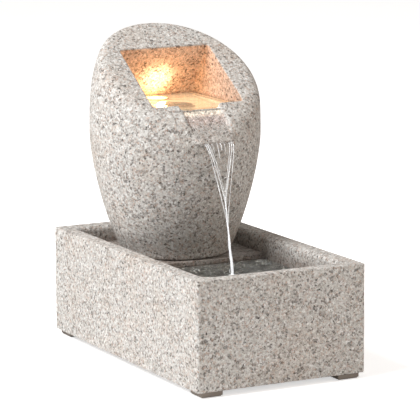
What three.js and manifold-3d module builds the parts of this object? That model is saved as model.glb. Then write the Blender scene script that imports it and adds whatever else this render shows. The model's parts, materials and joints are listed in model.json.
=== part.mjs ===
// Tabletop water fountain: a cast trough, a lift-out deck over a submersible pump, and an egg-shaped
// vessel whose slanted face holds a lamp-lit recess that pours over a spout lip into the trough.
// Millimetres, +Z up, the front (the pool and the spout) faces -Y.
// The origin is the middle of the footprint, on the surface that the feet stand on.
import * as THREE from "three";
import { mergeVertices } from "three/addons/utils/BufferGeometryUtils.js";
import Module from "manifold-3d";

const wasm = await Module();
wasm.setup();

// ---------------------------------------------------------------- driving dimensions

const GAP = 0.3; // clearance between pieces that rest on or are cut by each other
const OVERCUT = 5; // how far a cutter runs past the faces it opens

const foot = { size: 21, height: 5, insetX: 5, insetY: 2.5, chamfer: 1, pegRadius: 3, pegHeight: 4 };

const trough = {
  width: 170, length: 296, height: 100, wall: 16.5, floor: 12,
  edge: 2.5, cavityCorner: 9, ledge: 6, ledgeFront: 12,
};
const troughBottom = foot.height;
const troughFloor = troughBottom + trough.floor;
const troughRim = troughBottom + trough.height;
const innerHalfWidth = trough.width / 2 - trough.wall;
const innerHalfLength = trough.length / 2 - trough.wall;

const deck = {
  top: 89, thickness: 5, front: 6, skirt: 5, sideGap: 0.8, holeWidth: 34, holeBack: 84, holeFront: 42,
  holeX: -5, holeCorner: 6, slots: 15, slotWidth: 3.5, slotPitch: 7, slotRise: 6, slotHeight: 34,
  cornerRadius: 8.2,
};
const deckBottom = deck.top - deck.thickness + GAP;

// The egg's wall is a superellipse of revolution, fuller above its equator than below it.
const egg = {
  axisY: 58.5, radius: 80.5, equator: 202, below: 158, belowPower: 1.44, above: 125, abovePower: 3,
  wall: 9, baseFlange: 10, baseRound: 5, mouth: 34, segments: 72, rings: 22,
};
const eggBase = deck.top + GAP;

// The slanted face: a plane through (y, z) that rises towards the back.
const face = { y: 7.65, z: 233.9, tilt: THREE.MathUtils.degToRad(33), cavityDrop: 20 };
const recess = { halfWidth: 47, front: 10.2, length: 83, corner: 4, floor: 222, slab: 9 };
const chute = { halfWidth: 20.5, crestY: 5, crestZ: 229.2, slope: THREE.MathUtils.degToRad(40) };
const lip = { rootHalfWidth: 21.5, noseHalfWidth: 18, front: -26, back: 4, bottom: 202.6, corner: 3 };

const pipe = { y: 50.5, outer: 6.5, bore: 5, bottom: 66, top: 200 };
const fitting = { stem: 8, bore: 3.6, flange: 13, flangeThick: 2.4, barb: 4.7, barbBottom: 186, nut: 13 };
const lamp = { y: 100, body: 10.5, flange: 13.5, bottom: 204, lensHeight: 3.5, nut: 15 };
const lampLead = { radius: 1.6, plugX: -12, plugY: 76, plugRadius: 5, plugHeight: 14, plugLift: 8, pin: 1.6 };
const clamp = { drop: 4, width: 5, thick: 1.6, ear: 6, earHalfWidth: 2.2, splitHalfWidth: 0.6 };

const pump = {
  axisZ: 41, halfWidth: 22, bottom: 23, top: 59, caseFront: 58, caseBack: 104, wall: 3,
  wellBore: 9.2, wellWall: 1.6, wellEnd: 88, shaft: 1.25,
};
const stator = {
  front: 68, clearance: 0.4, limbWidth: 5, halfHeight: 7, yokeGap: 3, yokeThick: 5,
  coilHalfWidth: 9, coilHalfHeight: 10, coilBulge: 2.5,
};
const volute = {
  front: 43, back: 57.7, halfWidth: 20, chamber: 15.5, chamberFront: 46, intake: 6,
  bossRadius: 7, bossHeight: 4, rib: 0.8, bushHolder: 3.6, bush: 2.6,
};
const dial = {
  x: -13, y: 50.5, radius: 5.4, height: 3, gripHalfLength: 4.5, gripHalfWidth: 1, stem: 2.4, stemBore: 2.8,
};
// Suction cups under the pump: their places, and their outline as [radius, height above the trough's floor].
const cups = {
  halfSpan: 15, frontY: 66, rearY: 96,
  outline: [[0, 1.6], [5, 0], [6.8, 0], [7, 0.6], [3.2, 3.4], [2.4, 4.4], [2.4, 5.6], [0, 5.6]],
};
const grille = { front: 30, back: 42.7, halfWidth: 20, bottom: 24, top: 58, wall: 2, slots: 7 };
const rotor = { magnet: 8.3, front: 64, back: 83, hub: 5, bladeTip: 13.5, bladeFront: 47.5, blades: 6 };
const inlet = { z: 41, pocketDepth: 12, pocketHalfWidth: 13, pocketHalfHeight: 12, barrel: 6, flange: 10 };

// ---------------------------------------------------------------- finishes

const finish = (color, roughness, metalness = 0) =>
  new THREE.MeshStandardMaterial({ color, roughness, metalness });
const castStone = finish(0xb8b2ac, 0.85);
const footRubber = finish(0x77716b, 0.9);
const blackPlastic = finish(0x1d1e20, 0.5);
const greyPlastic = finish(0x55585c, 0.55);
const blackRubber = finish(0x161616, 0.85);
const clearTube = finish(0xc9d6d6, 0.2);
const clearLens = finish(0xf2ead6, 0.1);
const copper = finish(0xb06a3c, 0.35, 1);
const steel = finish(0xb9bcc0, 0.3, 1);
const ferrite = finish(0x34363a, 0.6);
const ceramic = finish(0xeeeae2, 0.3);
const boardGreen = finish(0x1e5a34, 0.5);
const foam = finish(0x2c2f33, 1);

// ---------------------------------------------------------------- solids and cuts

// A three.js geometry as a manifold solid that faces out.
function solid(geometry) {
  const bare = geometry.index ? geometry.toNonIndexed() : geometry.clone();
  const points = new THREE.BufferGeometry().setAttribute("position", bare.getAttribute("position"));
  const merged = mergeVertices(points, 1e-4);
  const vertProperties = merged.attributes.position.array;
  const triVerts = new Uint32Array(merged.index.array);
  const made = new wasm.Manifold(new wasm.Mesh({ numProp: 3, vertProperties, triVerts }));
  if (made.volume() > 0) return made;
  for (let i = 0; i < triVerts.length; i += 3) {
    [triVerts[i + 1], triVerts[i + 2]] = [triVerts[i + 2], triVerts[i + 1]];
  }
  return new wasm.Manifold(new wasm.Mesh({ numProp: 3, vertProperties, triVerts }));
}

// A manifold solid as a named mesh.
function piece(name, shape, material) {
  const mesh = shape.getMesh();
  const geometry = new THREE.BufferGeometry();
  geometry.setAttribute("position", new THREE.BufferAttribute(new Float32Array(mesh.vertProperties), 3));
  geometry.setIndex(new THREE.BufferAttribute(new Uint32Array(mesh.triVerts), 1));
  geometry.computeVertexNormals();
  const made = new THREE.Mesh(geometry, material);
  made.name = name;
  return made;
}

const cut = (body, ...cutters) => cutters.reduce((left, cutter) => left.subtract(cutter), body);
const join = (body, ...more) => more.reduce((sum, next) => sum.add(next), body);

// A box between two corners.
function block(x0, x1, y0, y1, z0, z1) {
  const box = new THREE.BoxGeometry(x1 - x0, y1 - y0, z1 - z0);
  return solid(box.translate((x0 + x1) / 2, (y0 + y1) / 2, (z0 + z1) / 2));
}

// A rectangle with round corners, as a shape in its own plane.
function roundedRectangle(x0, x1, y0, y1, radius) {
  const outline = new THREE.Shape();
  outline.absarc(x1 - radius, y1 - radius, radius, 0, Math.PI / 2);
  outline.absarc(x0 + radius, y1 - radius, radius, Math.PI / 2, Math.PI);
  outline.absarc(x0 + radius, y0 + radius, radius, Math.PI, 1.5 * Math.PI);
  outline.absarc(x1 - radius, y0 + radius, radius, 1.5 * Math.PI, 2 * Math.PI);
  return outline;
}

// An upright prism over a plan outline.
function prism(outline, z0, z1, curveSegments = 6) {
  const settings = { depth: z1 - z0, bevelEnabled: false, curveSegments };
  return solid(new THREE.ExtrudeGeometry(outline, settings).translate(0, 0, z0));
}

const roundedBlock = (x0, x1, y0, y1, z0, z1, radius) =>
  prism(roundedRectangle(x0, x1, y0, y1, radius), z0, z1);

// An upright round bar centred on (x, y).
function post(x, y, z0, z1, radius, segments = 24, topRadius = radius) {
  const bar = new THREE.CylinderGeometry(topRadius, radius, z1 - z0, segments);
  return solid(bar.rotateX(Math.PI / 2).translate(x, y, (z0 + z1) / 2));
}

// A round bar along Y centred on (x, z).
function rod(x, z, y0, y1, radius, segments = 24) {
  const bar = new THREE.CylinderGeometry(radius, radius, y1 - y0, segments);
  return solid(bar.translate(x, (y0 + y1) / 2, z));
}

const ring = (x, y, z0, z1, outer, inner, segments = 24) =>
  cut(post(x, y, z0, z1, outer, segments), post(x, y, z0 - 1, z1 + 1, inner, segments));

const ringAlongY = (x, z, y0, y1, outer, inner, segments = 24) =>
  cut(rod(x, z, y0, y1, outer, segments), rod(x, z, y0 - 1, y1 + 1, inner, segments));

// A profile of [radius, height] points revolved about a vertical axis.
function revolve(profile, x, y, segments) {
  const points = profile.map(([radius, height]) => new THREE.Vector2(radius, height));
  return solid(new THREE.LatheGeometry(points, segments).rotateX(Math.PI / 2).translate(x, y, 0));
}

// A round cable or tube along a smooth path of [x, y, z] points.
function cable(points, radius, sides, steps) {
  const path = new THREE.CatmullRomCurve3(points.map((point) => new THREE.Vector3(...point)));
  const section = new THREE.Shape();
  section.absarc(0, 0, radius, 0, 2 * Math.PI);
  const settings = { steps, extrudePath: path, curveSegments: sides / 2, bevelEnabled: false };
  return solid(new THREE.ExtrudeGeometry(section, settings));
}

// Everything above the plane through (y, z) that rises towards the back by the given angle.
function above(y, z, angle) {
  const size = 600;
  const slab = new THREE.BoxGeometry(size, size, size).translate(0, 0, size / 2);
  return solid(slab.rotateX(angle).translate(0, y, z));
}

// ---------------------------------------------------------------- trough and feet

function footPositions() {
  const x = trough.width / 2 - foot.insetX - foot.size / 2;
  const y = trough.length / 2 - foot.insetY - foot.size / 2;
  return [
    ["front_left", -x, -y],
    ["front_right", x, -y],
    ["rear_left", -x, y],
    ["rear_right", x, y],
  ];
}

function feet() {
  return footPositions().map(([place, x, y]) => {
    const half = foot.size / 2;
    const sole = half - foot.chamfer;
    const pad = join(
      block(x - sole, x + sole, y - sole, y + sole, 0, foot.height - GAP),
      block(x - half, x + half, y - half, y + half, foot.chamfer, foot.height - GAP),
      post(x, y, foot.chamfer, foot.height + foot.pegHeight, foot.pegRadius, 16),
    );
    return piece(`foot_${place}`, pad, footRubber);
  });
}

function troughCutters() {
  const corner = trough.cavityCorner;
  const ledgeTop = deckBottom - GAP;
  const top = troughRim + OVERCUT;
  const poolBack = trough.ledgeFront;
  const chamberX = innerHalfWidth - trough.ledge;
  const chamberY = innerHalfLength - trough.ledge;
  const [x, y] = [innerHalfWidth, innerHalfLength];
  return [
    roundedBlock(-x, x, -y, poolBack, troughFloor, ledgeTop + 1, corner),
    block(-x, x, -y / 2, poolBack, troughFloor, ledgeTop + 1),
    roundedBlock(-x, x, -y, y, ledgeTop, top, corner),
    roundedBlock(-chamberX, chamberX, -y / 2, chamberY, troughFloor, ledgeTop + 1, 4),
  ];
}

function inletCutters() {
  const { z, pocketDepth, pocketHalfWidth: halfWidth, pocketHalfHeight: halfHeight } = inlet;
  const outside = trough.length / 2;
  const pocketFloor = outside - pocketDepth;
  return [
    block(-halfWidth, halfWidth, pocketFloor, outside + OVERCUT, z - halfHeight, z + halfHeight),
    rod(0, z, innerHalfLength - trough.ledge - 1, outside, inlet.barrel + GAP),
  ];
}

function basin() {
  const [x, y] = [trough.width / 2, trough.length / 2];
  const body = roundedBlock(-x, x, -y, y, troughBottom, troughRim, trough.edge);
  const pegHoles = footPositions().map(([, px, py]) =>
    post(px, py, 0, foot.height + foot.pegHeight + GAP, foot.pegRadius + GAP, 16));
  return piece("basin", cut(body, ...troughCutters(), ...inletCutters(), ...pegHoles), castStone);
}

// ---------------------------------------------------------------- deck

function pumpDeck() {
  const x = innerHalfWidth - deck.sideGap;
  const back = innerHalfLength - deck.sideGap;
  const overrun = 2 * deck.cornerRadius;
  const plate = roundedBlock(-x, x, deck.front - overrun, back, deckBottom, deck.top, deck.cornerRadius);
  const front = block(-x - 1, x + 1, deck.front - overrun - 1, deck.front, deckBottom - 1, deck.top + 1);
  const holeHalf = deck.holeWidth / 2;
  const hole = roundedBlock(
    deck.holeX - holeHalf, deck.holeX + holeHalf, deck.holeFront, deck.holeBack,
    deckBottom - 1, deck.top + 1, deck.holeCorner,
  );
  return piece("pump_deck", cut(plate, front, hole), castStone);
}

// The slotted screen glued under the deck's front edge; it keeps leaves out of the pump bay.
function deckScreen() {
  const x = innerHalfWidth - deck.sideGap;
  const back = deck.front + deck.skirt;
  const low = troughFloor + GAP;
  const panel = block(-x, x, deck.front, back, low, deckBottom - GAP);
  const slots = Array.from({ length: deck.slots }, (_, i) => {
    const middle = (i - (deck.slots - 1) / 2) * deck.slotPitch;
    const [x0, x1] = [middle - deck.slotWidth / 2, middle + deck.slotWidth / 2];
    const z0 = troughFloor + deck.slotRise;
    return block(x0, x1, deck.front - 1, back + 1, z0, z0 + deck.slotHeight);
  });
  return piece("deck_screen", cut(panel, ...slots), castStone);
}

// ---------------------------------------------------------------- vessel

function eggRadius(z) {
  const rise = z - egg.equator;
  const [reach, power] = rise < 0 ? [egg.below, egg.belowPower] : [egg.above, egg.abovePower];
  return egg.radius * Math.sqrt(Math.max(0, 1 - (Math.abs(rise) / reach) ** power));
}

// Points of the egg's wall from z0 to z1, inset by a wall thickness.
function eggWall(z0, z1, inset, rings) {
  return Array.from({ length: rings + 1 }, (_, i) => {
    const z = z0 + ((z1 - z0) * i) / rings;
    return [eggRadius(z) - inset, z];
  });
}

function eggOutside() {
  const round = egg.baseRound;
  const footRadius = eggRadius(eggBase + round);
  const profile = [[0, eggBase]];
  for (let i = 0; i < 4; i += 1) {
    const angle = (i / 4) * (Math.PI / 2);
    profile.push([footRadius - round + round * Math.sin(angle), eggBase + round - round * Math.cos(angle)]);
  }
  const tip = egg.equator + egg.above;
  profile.push(...eggWall(eggBase + round, tip - 1, 0, egg.rings), [0, tip - 1]);
  return revolve(profile, 0, egg.axisY, egg.segments);
}

function eggInside() {
  const ceiling = recess.floor - recess.slab;
  const flangeTop = eggBase + egg.baseFlange;
  const hollow = revolve(
    [[0, flangeTop], ...eggWall(flangeTop, ceiling, egg.wall, 12), [0, ceiling]],
    0, egg.axisY, egg.segments / 2,
  );
  const underFace = cut(hollow, above(face.y, face.z - face.cavityDrop, face.tilt));
  return underFace.add(post(0, egg.axisY, eggBase - 1, flangeTop + 1, egg.mouth, 36));
}

// The recess: a rectangle in the slanted face, cut square to the face, down to a level floor.
function recessCutter() {
  const outline = roundedRectangle(
    -recess.halfWidth, recess.halfWidth, 0, recess.length, recess.corner,
  );
  const deep = new THREE.ExtrudeGeometry(outline, { depth: 130, bevelEnabled: false, curveSegments: 3 });
  const front = face.z + (recess.front - face.y) * Math.tan(face.tilt);
  deep.translate(0, 0, -100).rotateX(face.tilt).translate(0, recess.front, front);
  return solid(deep).intersect(block(-100, 100, -100, 200, recess.floor, 400));
}

// The water's way over the front rim: level from the recess to the crest, then a slope to the nose.
function chuteCutter(halfWidth) {
  const run = chute.crestY - lip.front + OVERCUT;
  const side = new THREE.Shape();
  side.moveTo(recess.front + 12, chute.crestZ);
  side.lineTo(recess.front + 12, chute.crestZ + 30);
  side.lineTo(lip.front - OVERCUT, chute.crestZ + 30);
  side.lineTo(lip.front - OVERCUT, chute.crestZ - run * Math.tan(chute.slope));
  side.lineTo(chute.crestY, chute.crestZ);
  const settings = { depth: 2 * halfWidth, bevelEnabled: false };
  const along = new THREE.ExtrudeGeometry(side, settings).translate(0, 0, -halfWidth);
  return solid(along.applyMatrix4(new THREE.Matrix4().makeBasis(
    new THREE.Vector3(0, 1, 0), new THREE.Vector3(0, 0, 1), new THREE.Vector3(1, 0, 0),
  )));
}

function spoutLip() {
  const plan = new THREE.Shape();
  const { rootHalfWidth: root, noseHalfWidth: nose, front, back, corner } = lip;
  plan.moveTo(-root, back);
  plan.lineTo(-nose - 0.5, front + corner);
  plan.quadraticCurveTo(-nose, front, -nose + corner, front);
  plan.lineTo(nose - corner, front);
  plan.quadraticCurveTo(nose, front, nose + 0.5, front + corner);
  plan.lineTo(root, back);
  return cut(prism(plan, lip.bottom, face.z - 4), chuteCutter(egg.radius));
}

function vessel() {
  const slab = [recess.floor - recess.slab - 1, recess.floor + 1];
  const body = cut(
    eggOutside(),
    above(face.y, face.z, face.tilt),
    recessCutter(),
    chuteCutter(chute.halfWidth),
  );
  const tongue = cut(spoutLip(), above(face.y, face.z, face.tilt));
  const drilled = cut(
    body.add(tongue),
    eggInside(),
    post(0, pipe.y, ...slab, fitting.stem + GAP),
    post(0, lamp.y, ...slab, lamp.body + GAP),
  );
  return piece("vessel", drilled, castStone);
}

// ---------------------------------------------------------------- recess fitting and riser tube

function recessPlumbing() {
  const { stem, bore, flange, flangeThick, barb, barbBottom, nut } = fitting;
  const y = pipe.y;
  const washerTop = recess.floor + 1.6;
  const slabBottom = recess.floor - recess.slab;
  const tail = slabBottom - 10;
  const spigot = join(
    post(0, y, washerTop + 0.1, washerTop + 0.1 + flangeThick, flange),
    post(0, y, tail, washerTop + 1, stem),
    post(0, y, barbBottom, tail + 1, barb),
    post(0, y, barbBottom + 2, barbBottom + 4, barb, 24, barb - 0.5),
  );
  const capBase = washerTop + flangeThick + 0.4;
  const dome = cut(
    post(0, y, capBase, capBase + 3.4, 9, 24, 6.5),
    post(0, y, capBase - 1, capBase + 2.2, 5.5),
  );
  const vents = [0, 1, 2, 3].map((i) => {
    const slot = new THREE.BoxGeometry(24, 3, 3).rotateZ((i * Math.PI) / 4);
    return solid(slot.translate(0, y, capBase));
  });
  const hexNut = cut(
    post(0, y, slabBottom - 6.5, slabBottom - GAP, nut, 6),
    post(0, y, slabBottom - 8, slabBottom + 1, stem + GAP),
  );
  const clampTop = pipe.top - clamp.drop;
  const clampLow = clampTop - clamp.width;
  const earEnd = pipe.outer + 1 + clamp.ear;
  const split = clamp.splitHalfWidth;
  const clampBand = cut(
    join(
      post(0, y, clampLow, clampTop, pipe.outer + clamp.thick),
      block(pipe.outer + 1, earEnd, y - clamp.earHalfWidth, y + clamp.earHalfWidth, clampLow, clampTop),
    ),
    post(0, y, clampLow - 1, clampTop + 1, pipe.outer + 0.1),
    block(pipe.outer - 2, earEnd + 2, y - split, y + split, clampLow - 1, clampTop + 1),
  );
  return [
    piece("recess_fitting", cut(spigot, post(0, y, barbBottom - 1, recess.floor + 10, bore)), blackPlastic),
    piece("fitting_washer", ring(0, y, recess.floor + 0.1, washerTop, flange, stem + GAP), blackRubber),
    piece("fitting_nut", hexNut, blackPlastic),
    piece("diffuser_cap", cut(dome, ...vents), greyPlastic),
    piece("riser_tube", ring(0, y, pipe.bottom, pipe.top, pipe.outer, pipe.bore), clearTube),
    piece("tube_clamp", clampBand, steel),
  ];
}

// ---------------------------------------------------------------- lamp

function lampPieces() {
  const { y, body, flange, bottom, lensHeight, nut } = lamp;
  const sealTop = recess.floor + 1.3;
  const flangeBottom = sealTop + 0.1;
  const flangeTop = flangeBottom + 2;
  const slabBottom = recess.floor - recess.slab;
  const cup = cut(
    join(post(0, y, flangeBottom, flangeTop, flange, 32), post(0, y, bottom, flangeTop, body, 32)),
    post(0, y, bottom + 3, flangeTop + 1, body - 2, 32),
    post(0, y, bottom - 1, bottom + 4, lampLead.radius + GAP, 12),
  );
  const lens = revolve(
    [[0, flangeTop + GAP], [flange - 1.5, flangeTop + GAP], [flange - 2, flangeTop + 1.4],
      [flange - 5, flangeTop + lensHeight - 0.7], [0, flangeTop + lensHeight]],
    0, y, 32,
  );
  const board = join(
    post(0, y, flangeTop - 5, flangeTop - 3.6, body - 2.4),
    ...[0, 1, 2].map((i) => {
      const angle = (i * 2 * Math.PI) / 3;
      return post(4 * Math.cos(angle), y + 4 * Math.sin(angle), flangeTop - 4, flangeTop - 2.2, 1.6, 12);
    }),
  );
  return [
    piece("lamp_housing", cup, blackPlastic),
    piece("lamp_lens", lens, clearLens),
    piece("lamp_board", board, boardGreen),
    piece("lamp_seal", ring(0, y, recess.floor + 0.1, sealTop, flange, body + GAP, 32), blackRubber),
    piece("lamp_nut", cut(
      post(0, y, slabBottom - 5.5, slabBottom - GAP, nut, 6),
      post(0, y, slabBottom - 7, slabBottom + 1, body + GAP, 32),
    ), blackPlastic),
    ...lampCable(),
  ];
}

function lampCable() {
  const { radius, plugX, plugY, plugRadius, plugHeight, plugLift, pin } = lampLead;
  const plugBottom = pump.top + plugLift;
  const plugTop = plugBottom + plugHeight;
  const route = [
    [0, lamp.y, lamp.bottom + 10],
    [0, lamp.y, lamp.bottom - 12],
    [-2, lamp.y - 3, 160],
    [-8, 86, 122],
    [plugX, plugY, 100],
    [plugX, plugY, plugTop + GAP],
  ];
  const plug = join(
    post(plugX, plugY, plugBottom, plugTop - 3, plugRadius, 20),
    post(plugX, plugY, plugTop - 3, plugTop, plugRadius, 20, 3),
    post(plugX, plugY, plugBottom - 5, plugBottom + 1, pin, 16),
  );
  return [
    piece("lamp_lead", cable(route, radius, 8, 18), blackRubber),
    piece("lamp_plug", plug, blackPlastic),
  ];
}

// ---------------------------------------------------------------- pump

function pumpCase() {
  const { halfWidth: x, bottom, top, caseFront, caseBack, wall, wellBore, wellWall, wellEnd, axisZ } = pump;
  const cavity = block(-x + wall, x - wall, caseFront + wall, caseBack + 1, bottom + wall, top - wall);
  const well = rod(0, axisZ, caseFront, wellEnd, wellBore + wellWall, 32);
  const { plugX, plugY } = lampLead;
  const body = join(
    cut(block(-x, x, caseFront, caseBack, bottom, top), cavity),
    well,
    post(plugX, plugY, top - 1, top + 1.5, 6.4, 20),
  );
  const wellHole = rod(0, axisZ, caseFront - 1, wellEnd - wellWall, wellBore, 32);
  return piece("pump_case", cut(body, wellHole), blackPlastic);
}

function pumpMotor() {
  const { halfWidth: x, bottom, top, caseBack, wall, wellEnd, axisZ } = pump;
  const { front, clearance, limbWidth, halfHeight, yokeGap, yokeThick } = stator;
  const { coilHalfWidth, coilHalfHeight, coilBulge } = stator;
  const limbInside = pump.wellBore + pump.wellWall + clearance;
  const limb = limbInside + limbWidth;
  const [yokeFront, yokeBack] = [wellEnd + yokeGap, wellEnd + yokeGap + yokeThick];
  const core = cut(
    block(-limb, limb, front, yokeBack, axisZ - halfHeight, axisZ + halfHeight),
    block(-limbInside, limbInside, front - 1, yokeFront, axisZ - halfHeight - 1, axisZ + halfHeight + 1),
  );
  const coilHeight = [axisZ - coilHalfHeight, axisZ + coilHalfHeight];
  const coreHeight = [axisZ - halfHeight - GAP, axisZ + halfHeight + GAP];
  const coil = cut(
    block(-coilHalfWidth, coilHalfWidth, yokeFront - coilBulge, yokeBack + coilBulge, ...coilHeight),
    block(-coilHalfWidth - 1, coilHalfWidth + 1, yokeFront - GAP, yokeBack + GAP, ...coreHeight),
  );
  const cover = cut(
    join(
      block(-x + wall + GAP, x - wall - GAP, caseBack - 3.5, caseBack, bottom + wall + GAP, top - wall - GAP),
      rod(0, axisZ, caseBack - 1, caseBack + 4, 4, 20),
    ),
    rod(0, axisZ, caseBack - 5, caseBack + 5, 2.6, 16),
  );
  return [
    piece("stator_core", core, steel),
    piece("stator_coil", coil, copper),
    piece("pump_back_cover", cover, blackPlastic),
  ];
}

function pumpShaftAndBushes() {
  const { axisZ, shaft, wellEnd, wellWall, wellBore } = pump;
  const wellFloor = wellEnd - wellWall;
  const { front, chamberFront, bush } = volute;
  const frontBush = ringAlongY(0, axisZ, front + 0.2, chamberFront + 0.4, bush, shaft + 0.05, 16);
  const rearBush = ringAlongY(0, axisZ, wellFloor - 2.6, wellFloor - 0.1, wellBore - 0.2, shaft + 0.05);
  return [
    piece("pump_shaft", rod(0, axisZ, front + 1, wellFloor - 0.5, shaft, 16), ceramic),
    piece("rear_bush", rearBush, blackRubber),
    piece("front_bush", frontBush, blackRubber),
  ];
}

function voluteCover() {
  const { front, back, halfWidth: x, chamber, chamberFront, intake } = volute;
  const { axisZ, bottom, top } = pump;
  const { bossRadius, bossHeight, rib, bushHolder, bush } = volute;
  const boss = post(0, pipe.y, top - 1, top + bossHeight, bossRadius);
  const spider = join(
    rod(0, axisZ, front, chamberFront, bushHolder, 16),
    block(-intake - 1, intake + 1, front, chamberFront, axisZ - rib, axisZ + rib),
    block(-rib, rib, front, chamberFront, axisZ - intake - 1, axisZ + intake + 1),
  );
  const shell = cut(
    join(block(-x, x, front, back, bottom, top), boss),
    rod(0, axisZ, chamberFront, back + 1, chamber, 32),
    rod(0, axisZ, front - 1, chamberFront + 1, intake, 24),
    post(0, pipe.y, axisZ, top + bossHeight + 1, pipe.bore + 0.05),
    post(dial.x, dial.y, top - 5, top + 1, dial.stemBore, 16),
  );
  return piece("volute_cover", cut(
    shell.add(spider),
    rod(0, axisZ, front - 1, chamberFront + 1, bush + 0.1, 16),
  ), greyPlastic);
}

function outletNozzle() {
  const seat = pump.top + volute.bossHeight;
  const body = join(
    post(0, pipe.y, seat - 5, seat + 2, 4.9),
    post(0, pipe.y, seat + GAP, seat + 2, volute.bossRadius),
    post(0, pipe.y, seat + 2, pipe.bottom + 11, fitting.barb),
  );
  return piece("outlet_nozzle", cut(body, post(0, pipe.y, seat - 6, pipe.bottom + 12, 3.3)), blackPlastic);
}

function lampSocket() {
  const { plugX, plugY } = lampLead;
  const z = pump.top + 1.5 + 0.1;
  return piece("lamp_socket", cut(
    post(plugX, plugY, z, z + 6, lampLead.plugRadius, 20),
    post(plugX, plugY, z + 0.5, z + 7, lampLead.pin + GAP, 16),
  ), greyPlastic);
}

function suctionCups() {
  const { halfSpan, frontY, rearY, outline } = cups;
  const z = troughFloor + 0.1;
  const places = [
    ["front_left", -halfSpan, frontY],
    ["front_right", halfSpan, frontY],
    ["rear_left", -halfSpan, rearY],
    ["rear_right", halfSpan, rearY],
  ];
  const profile = outline.map(([radius, height]) => [radius, z + height]);
  return places.map(([place, x, y]) => piece(`suction_cup_${place}`, revolve(profile, x, y, 20), blackRubber));
}

function flowDial() {
  const { x, y, radius, height, gripHalfLength, gripHalfWidth, stem } = dial;
  const z = pump.top + GAP;
  const turned = join(
    post(x, y, z, z + height, radius, 24),
    block(x - gripHalfLength, x + gripHalfLength, y - gripHalfWidth, y + gripHalfWidth, z + 2, z + 5),
    post(x, y, z - 4, z + 1, stem, 16),
  );
  return piece("flow_dial", turned, greyPlastic);
}

function filterCover() {
  const { front, back, halfWidth: x, bottom, top, wall, slots } = grille;
  const openings = Array.from({ length: slots }, (_, i) => {
    const middle = (i - (slots - 1) / 2) * 5;
    return block(middle - 1.2, middle + 1.2, front - 1, front + wall + 1, bottom + 5, top - 5);
  });
  const shell = cut(
    block(-x, x, front, back, bottom, top),
    block(-x + wall, x - wall, front + wall, back + 1, bottom + wall, top - wall),
    ...openings,
  );
  const margin = wall + GAP;
  const sponge = block(-x + margin, x - margin, front + margin, back - 0.7, bottom + margin, top - margin);
  return [piece("intake_grille", shell, blackPlastic), piece("filter_sponge", sponge, foam)];
}

function impeller() {
  const { magnet, front, back, hub, bladeTip, bladeFront, blades } = rotor;
  const { axisZ, shaft } = pump;
  const bore = rod(0, axisZ, bladeFront - 2, back + 1, shaft + 0.06, 16);
  const vanes = Array.from({ length: blades }, (_, i) => {
    const vane = new THREE.BoxGeometry(1.4, 8.5, bladeTip - 2).translate(0, 0, (bladeTip + 2) / 2);
    vane.rotateY((i * 2 * Math.PI) / blades).translate(0, bladeFront + 4.25, axisZ);
    return solid(vane);
  });
  const wheel = join(rod(0, axisZ, bladeFront, front - 0.3, hub), ...vanes);
  return [
    piece("impeller_wheel", cut(wheel, bore), greyPlastic),
    piece("rotor_magnet", cut(rod(0, axisZ, front, back, magnet, 32), bore), ferrite),
  ];
}

// ---------------------------------------------------------------- power inlet

function powerInlet() {
  const { z, pocketDepth, barrel, flange } = inlet;
  const pocketFloor = trough.length / 2 - pocketDepth;
  const inside = innerHalfLength - trough.ledge;
  const seal = pocketFloor + 1.4;
  const jack = cut(
    join(rod(0, z, seal + 0.1, seal + 3, flange), rod(0, z, inside - 9, seal + 1, barrel)),
    rod(0, z, inside, seal + 4, 3.2, 20),
    rod(0, z, inside - 10, inside + 1, 1.3, 12),
  );
  const nut = new THREE.CylinderGeometry(10, 10, 4, 6).translate(0, inside - 2.3, z);
  return [
    piece("power_socket", jack, blackPlastic),
    piece("socket_pin", rod(0, z, inside - 6, seal + 1, 1, 12), steel),
    piece("socket_seal", ringAlongY(0, z, pocketFloor + 0.1, seal, flange, barrel + GAP), blackRubber),
    piece("socket_nut", cut(solid(nut), rod(0, z, inside - 6, inside, barrel + GAP)), blackPlastic),
  ];
}

function pumpLead() {
  const start = pump.caseBack;
  const end = innerHalfLength - trough.ledge - 9;
  const route = [
    [0, start - 2, pump.axisZ],
    [0, (start + end) / 2, (pump.axisZ + inlet.z) / 2],
    [0, end - GAP, inlet.z],
  ];
  return piece("pump_lead", cable(route, 2, 8, 6), blackRubber);
}

// ---------------------------------------------------------------- the fountain

const fountain = new THREE.Group();
fountain.add(
  basin(), ...feet(),
  pumpCase(), ...pumpMotor(), ...pumpShaftAndBushes(), voluteCover(), outletNozzle(), lampSocket(),
  ...suctionCups(), flowDial(), ...filterCover(), ...impeller(),
  ...powerInlet(), pumpLead(),
  pumpDeck(), deckScreen(),
  vessel(), ...recessPlumbing(), ...lampPieces(),
);

export default fountain;
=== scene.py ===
"""Looks of a tabletop water fountain: a trough, a lift-out deck and an egg-shaped vessel with a lit recess.

Lengths are in metres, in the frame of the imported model: the origin is the middle of the footprint, on the
surface that the feet stand on, +Z is up, and the pool and the spout face -Y.
"""
from __future__ import annotations

import json
import logging
import math
import random
from collections.abc import Callable, Iterator, Sequence
from contextlib import contextmanager
from dataclasses import dataclass, field
from enum import Enum
from functools import cache

import bmesh
import bpy
from mathutils import Matrix, Vector


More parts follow.
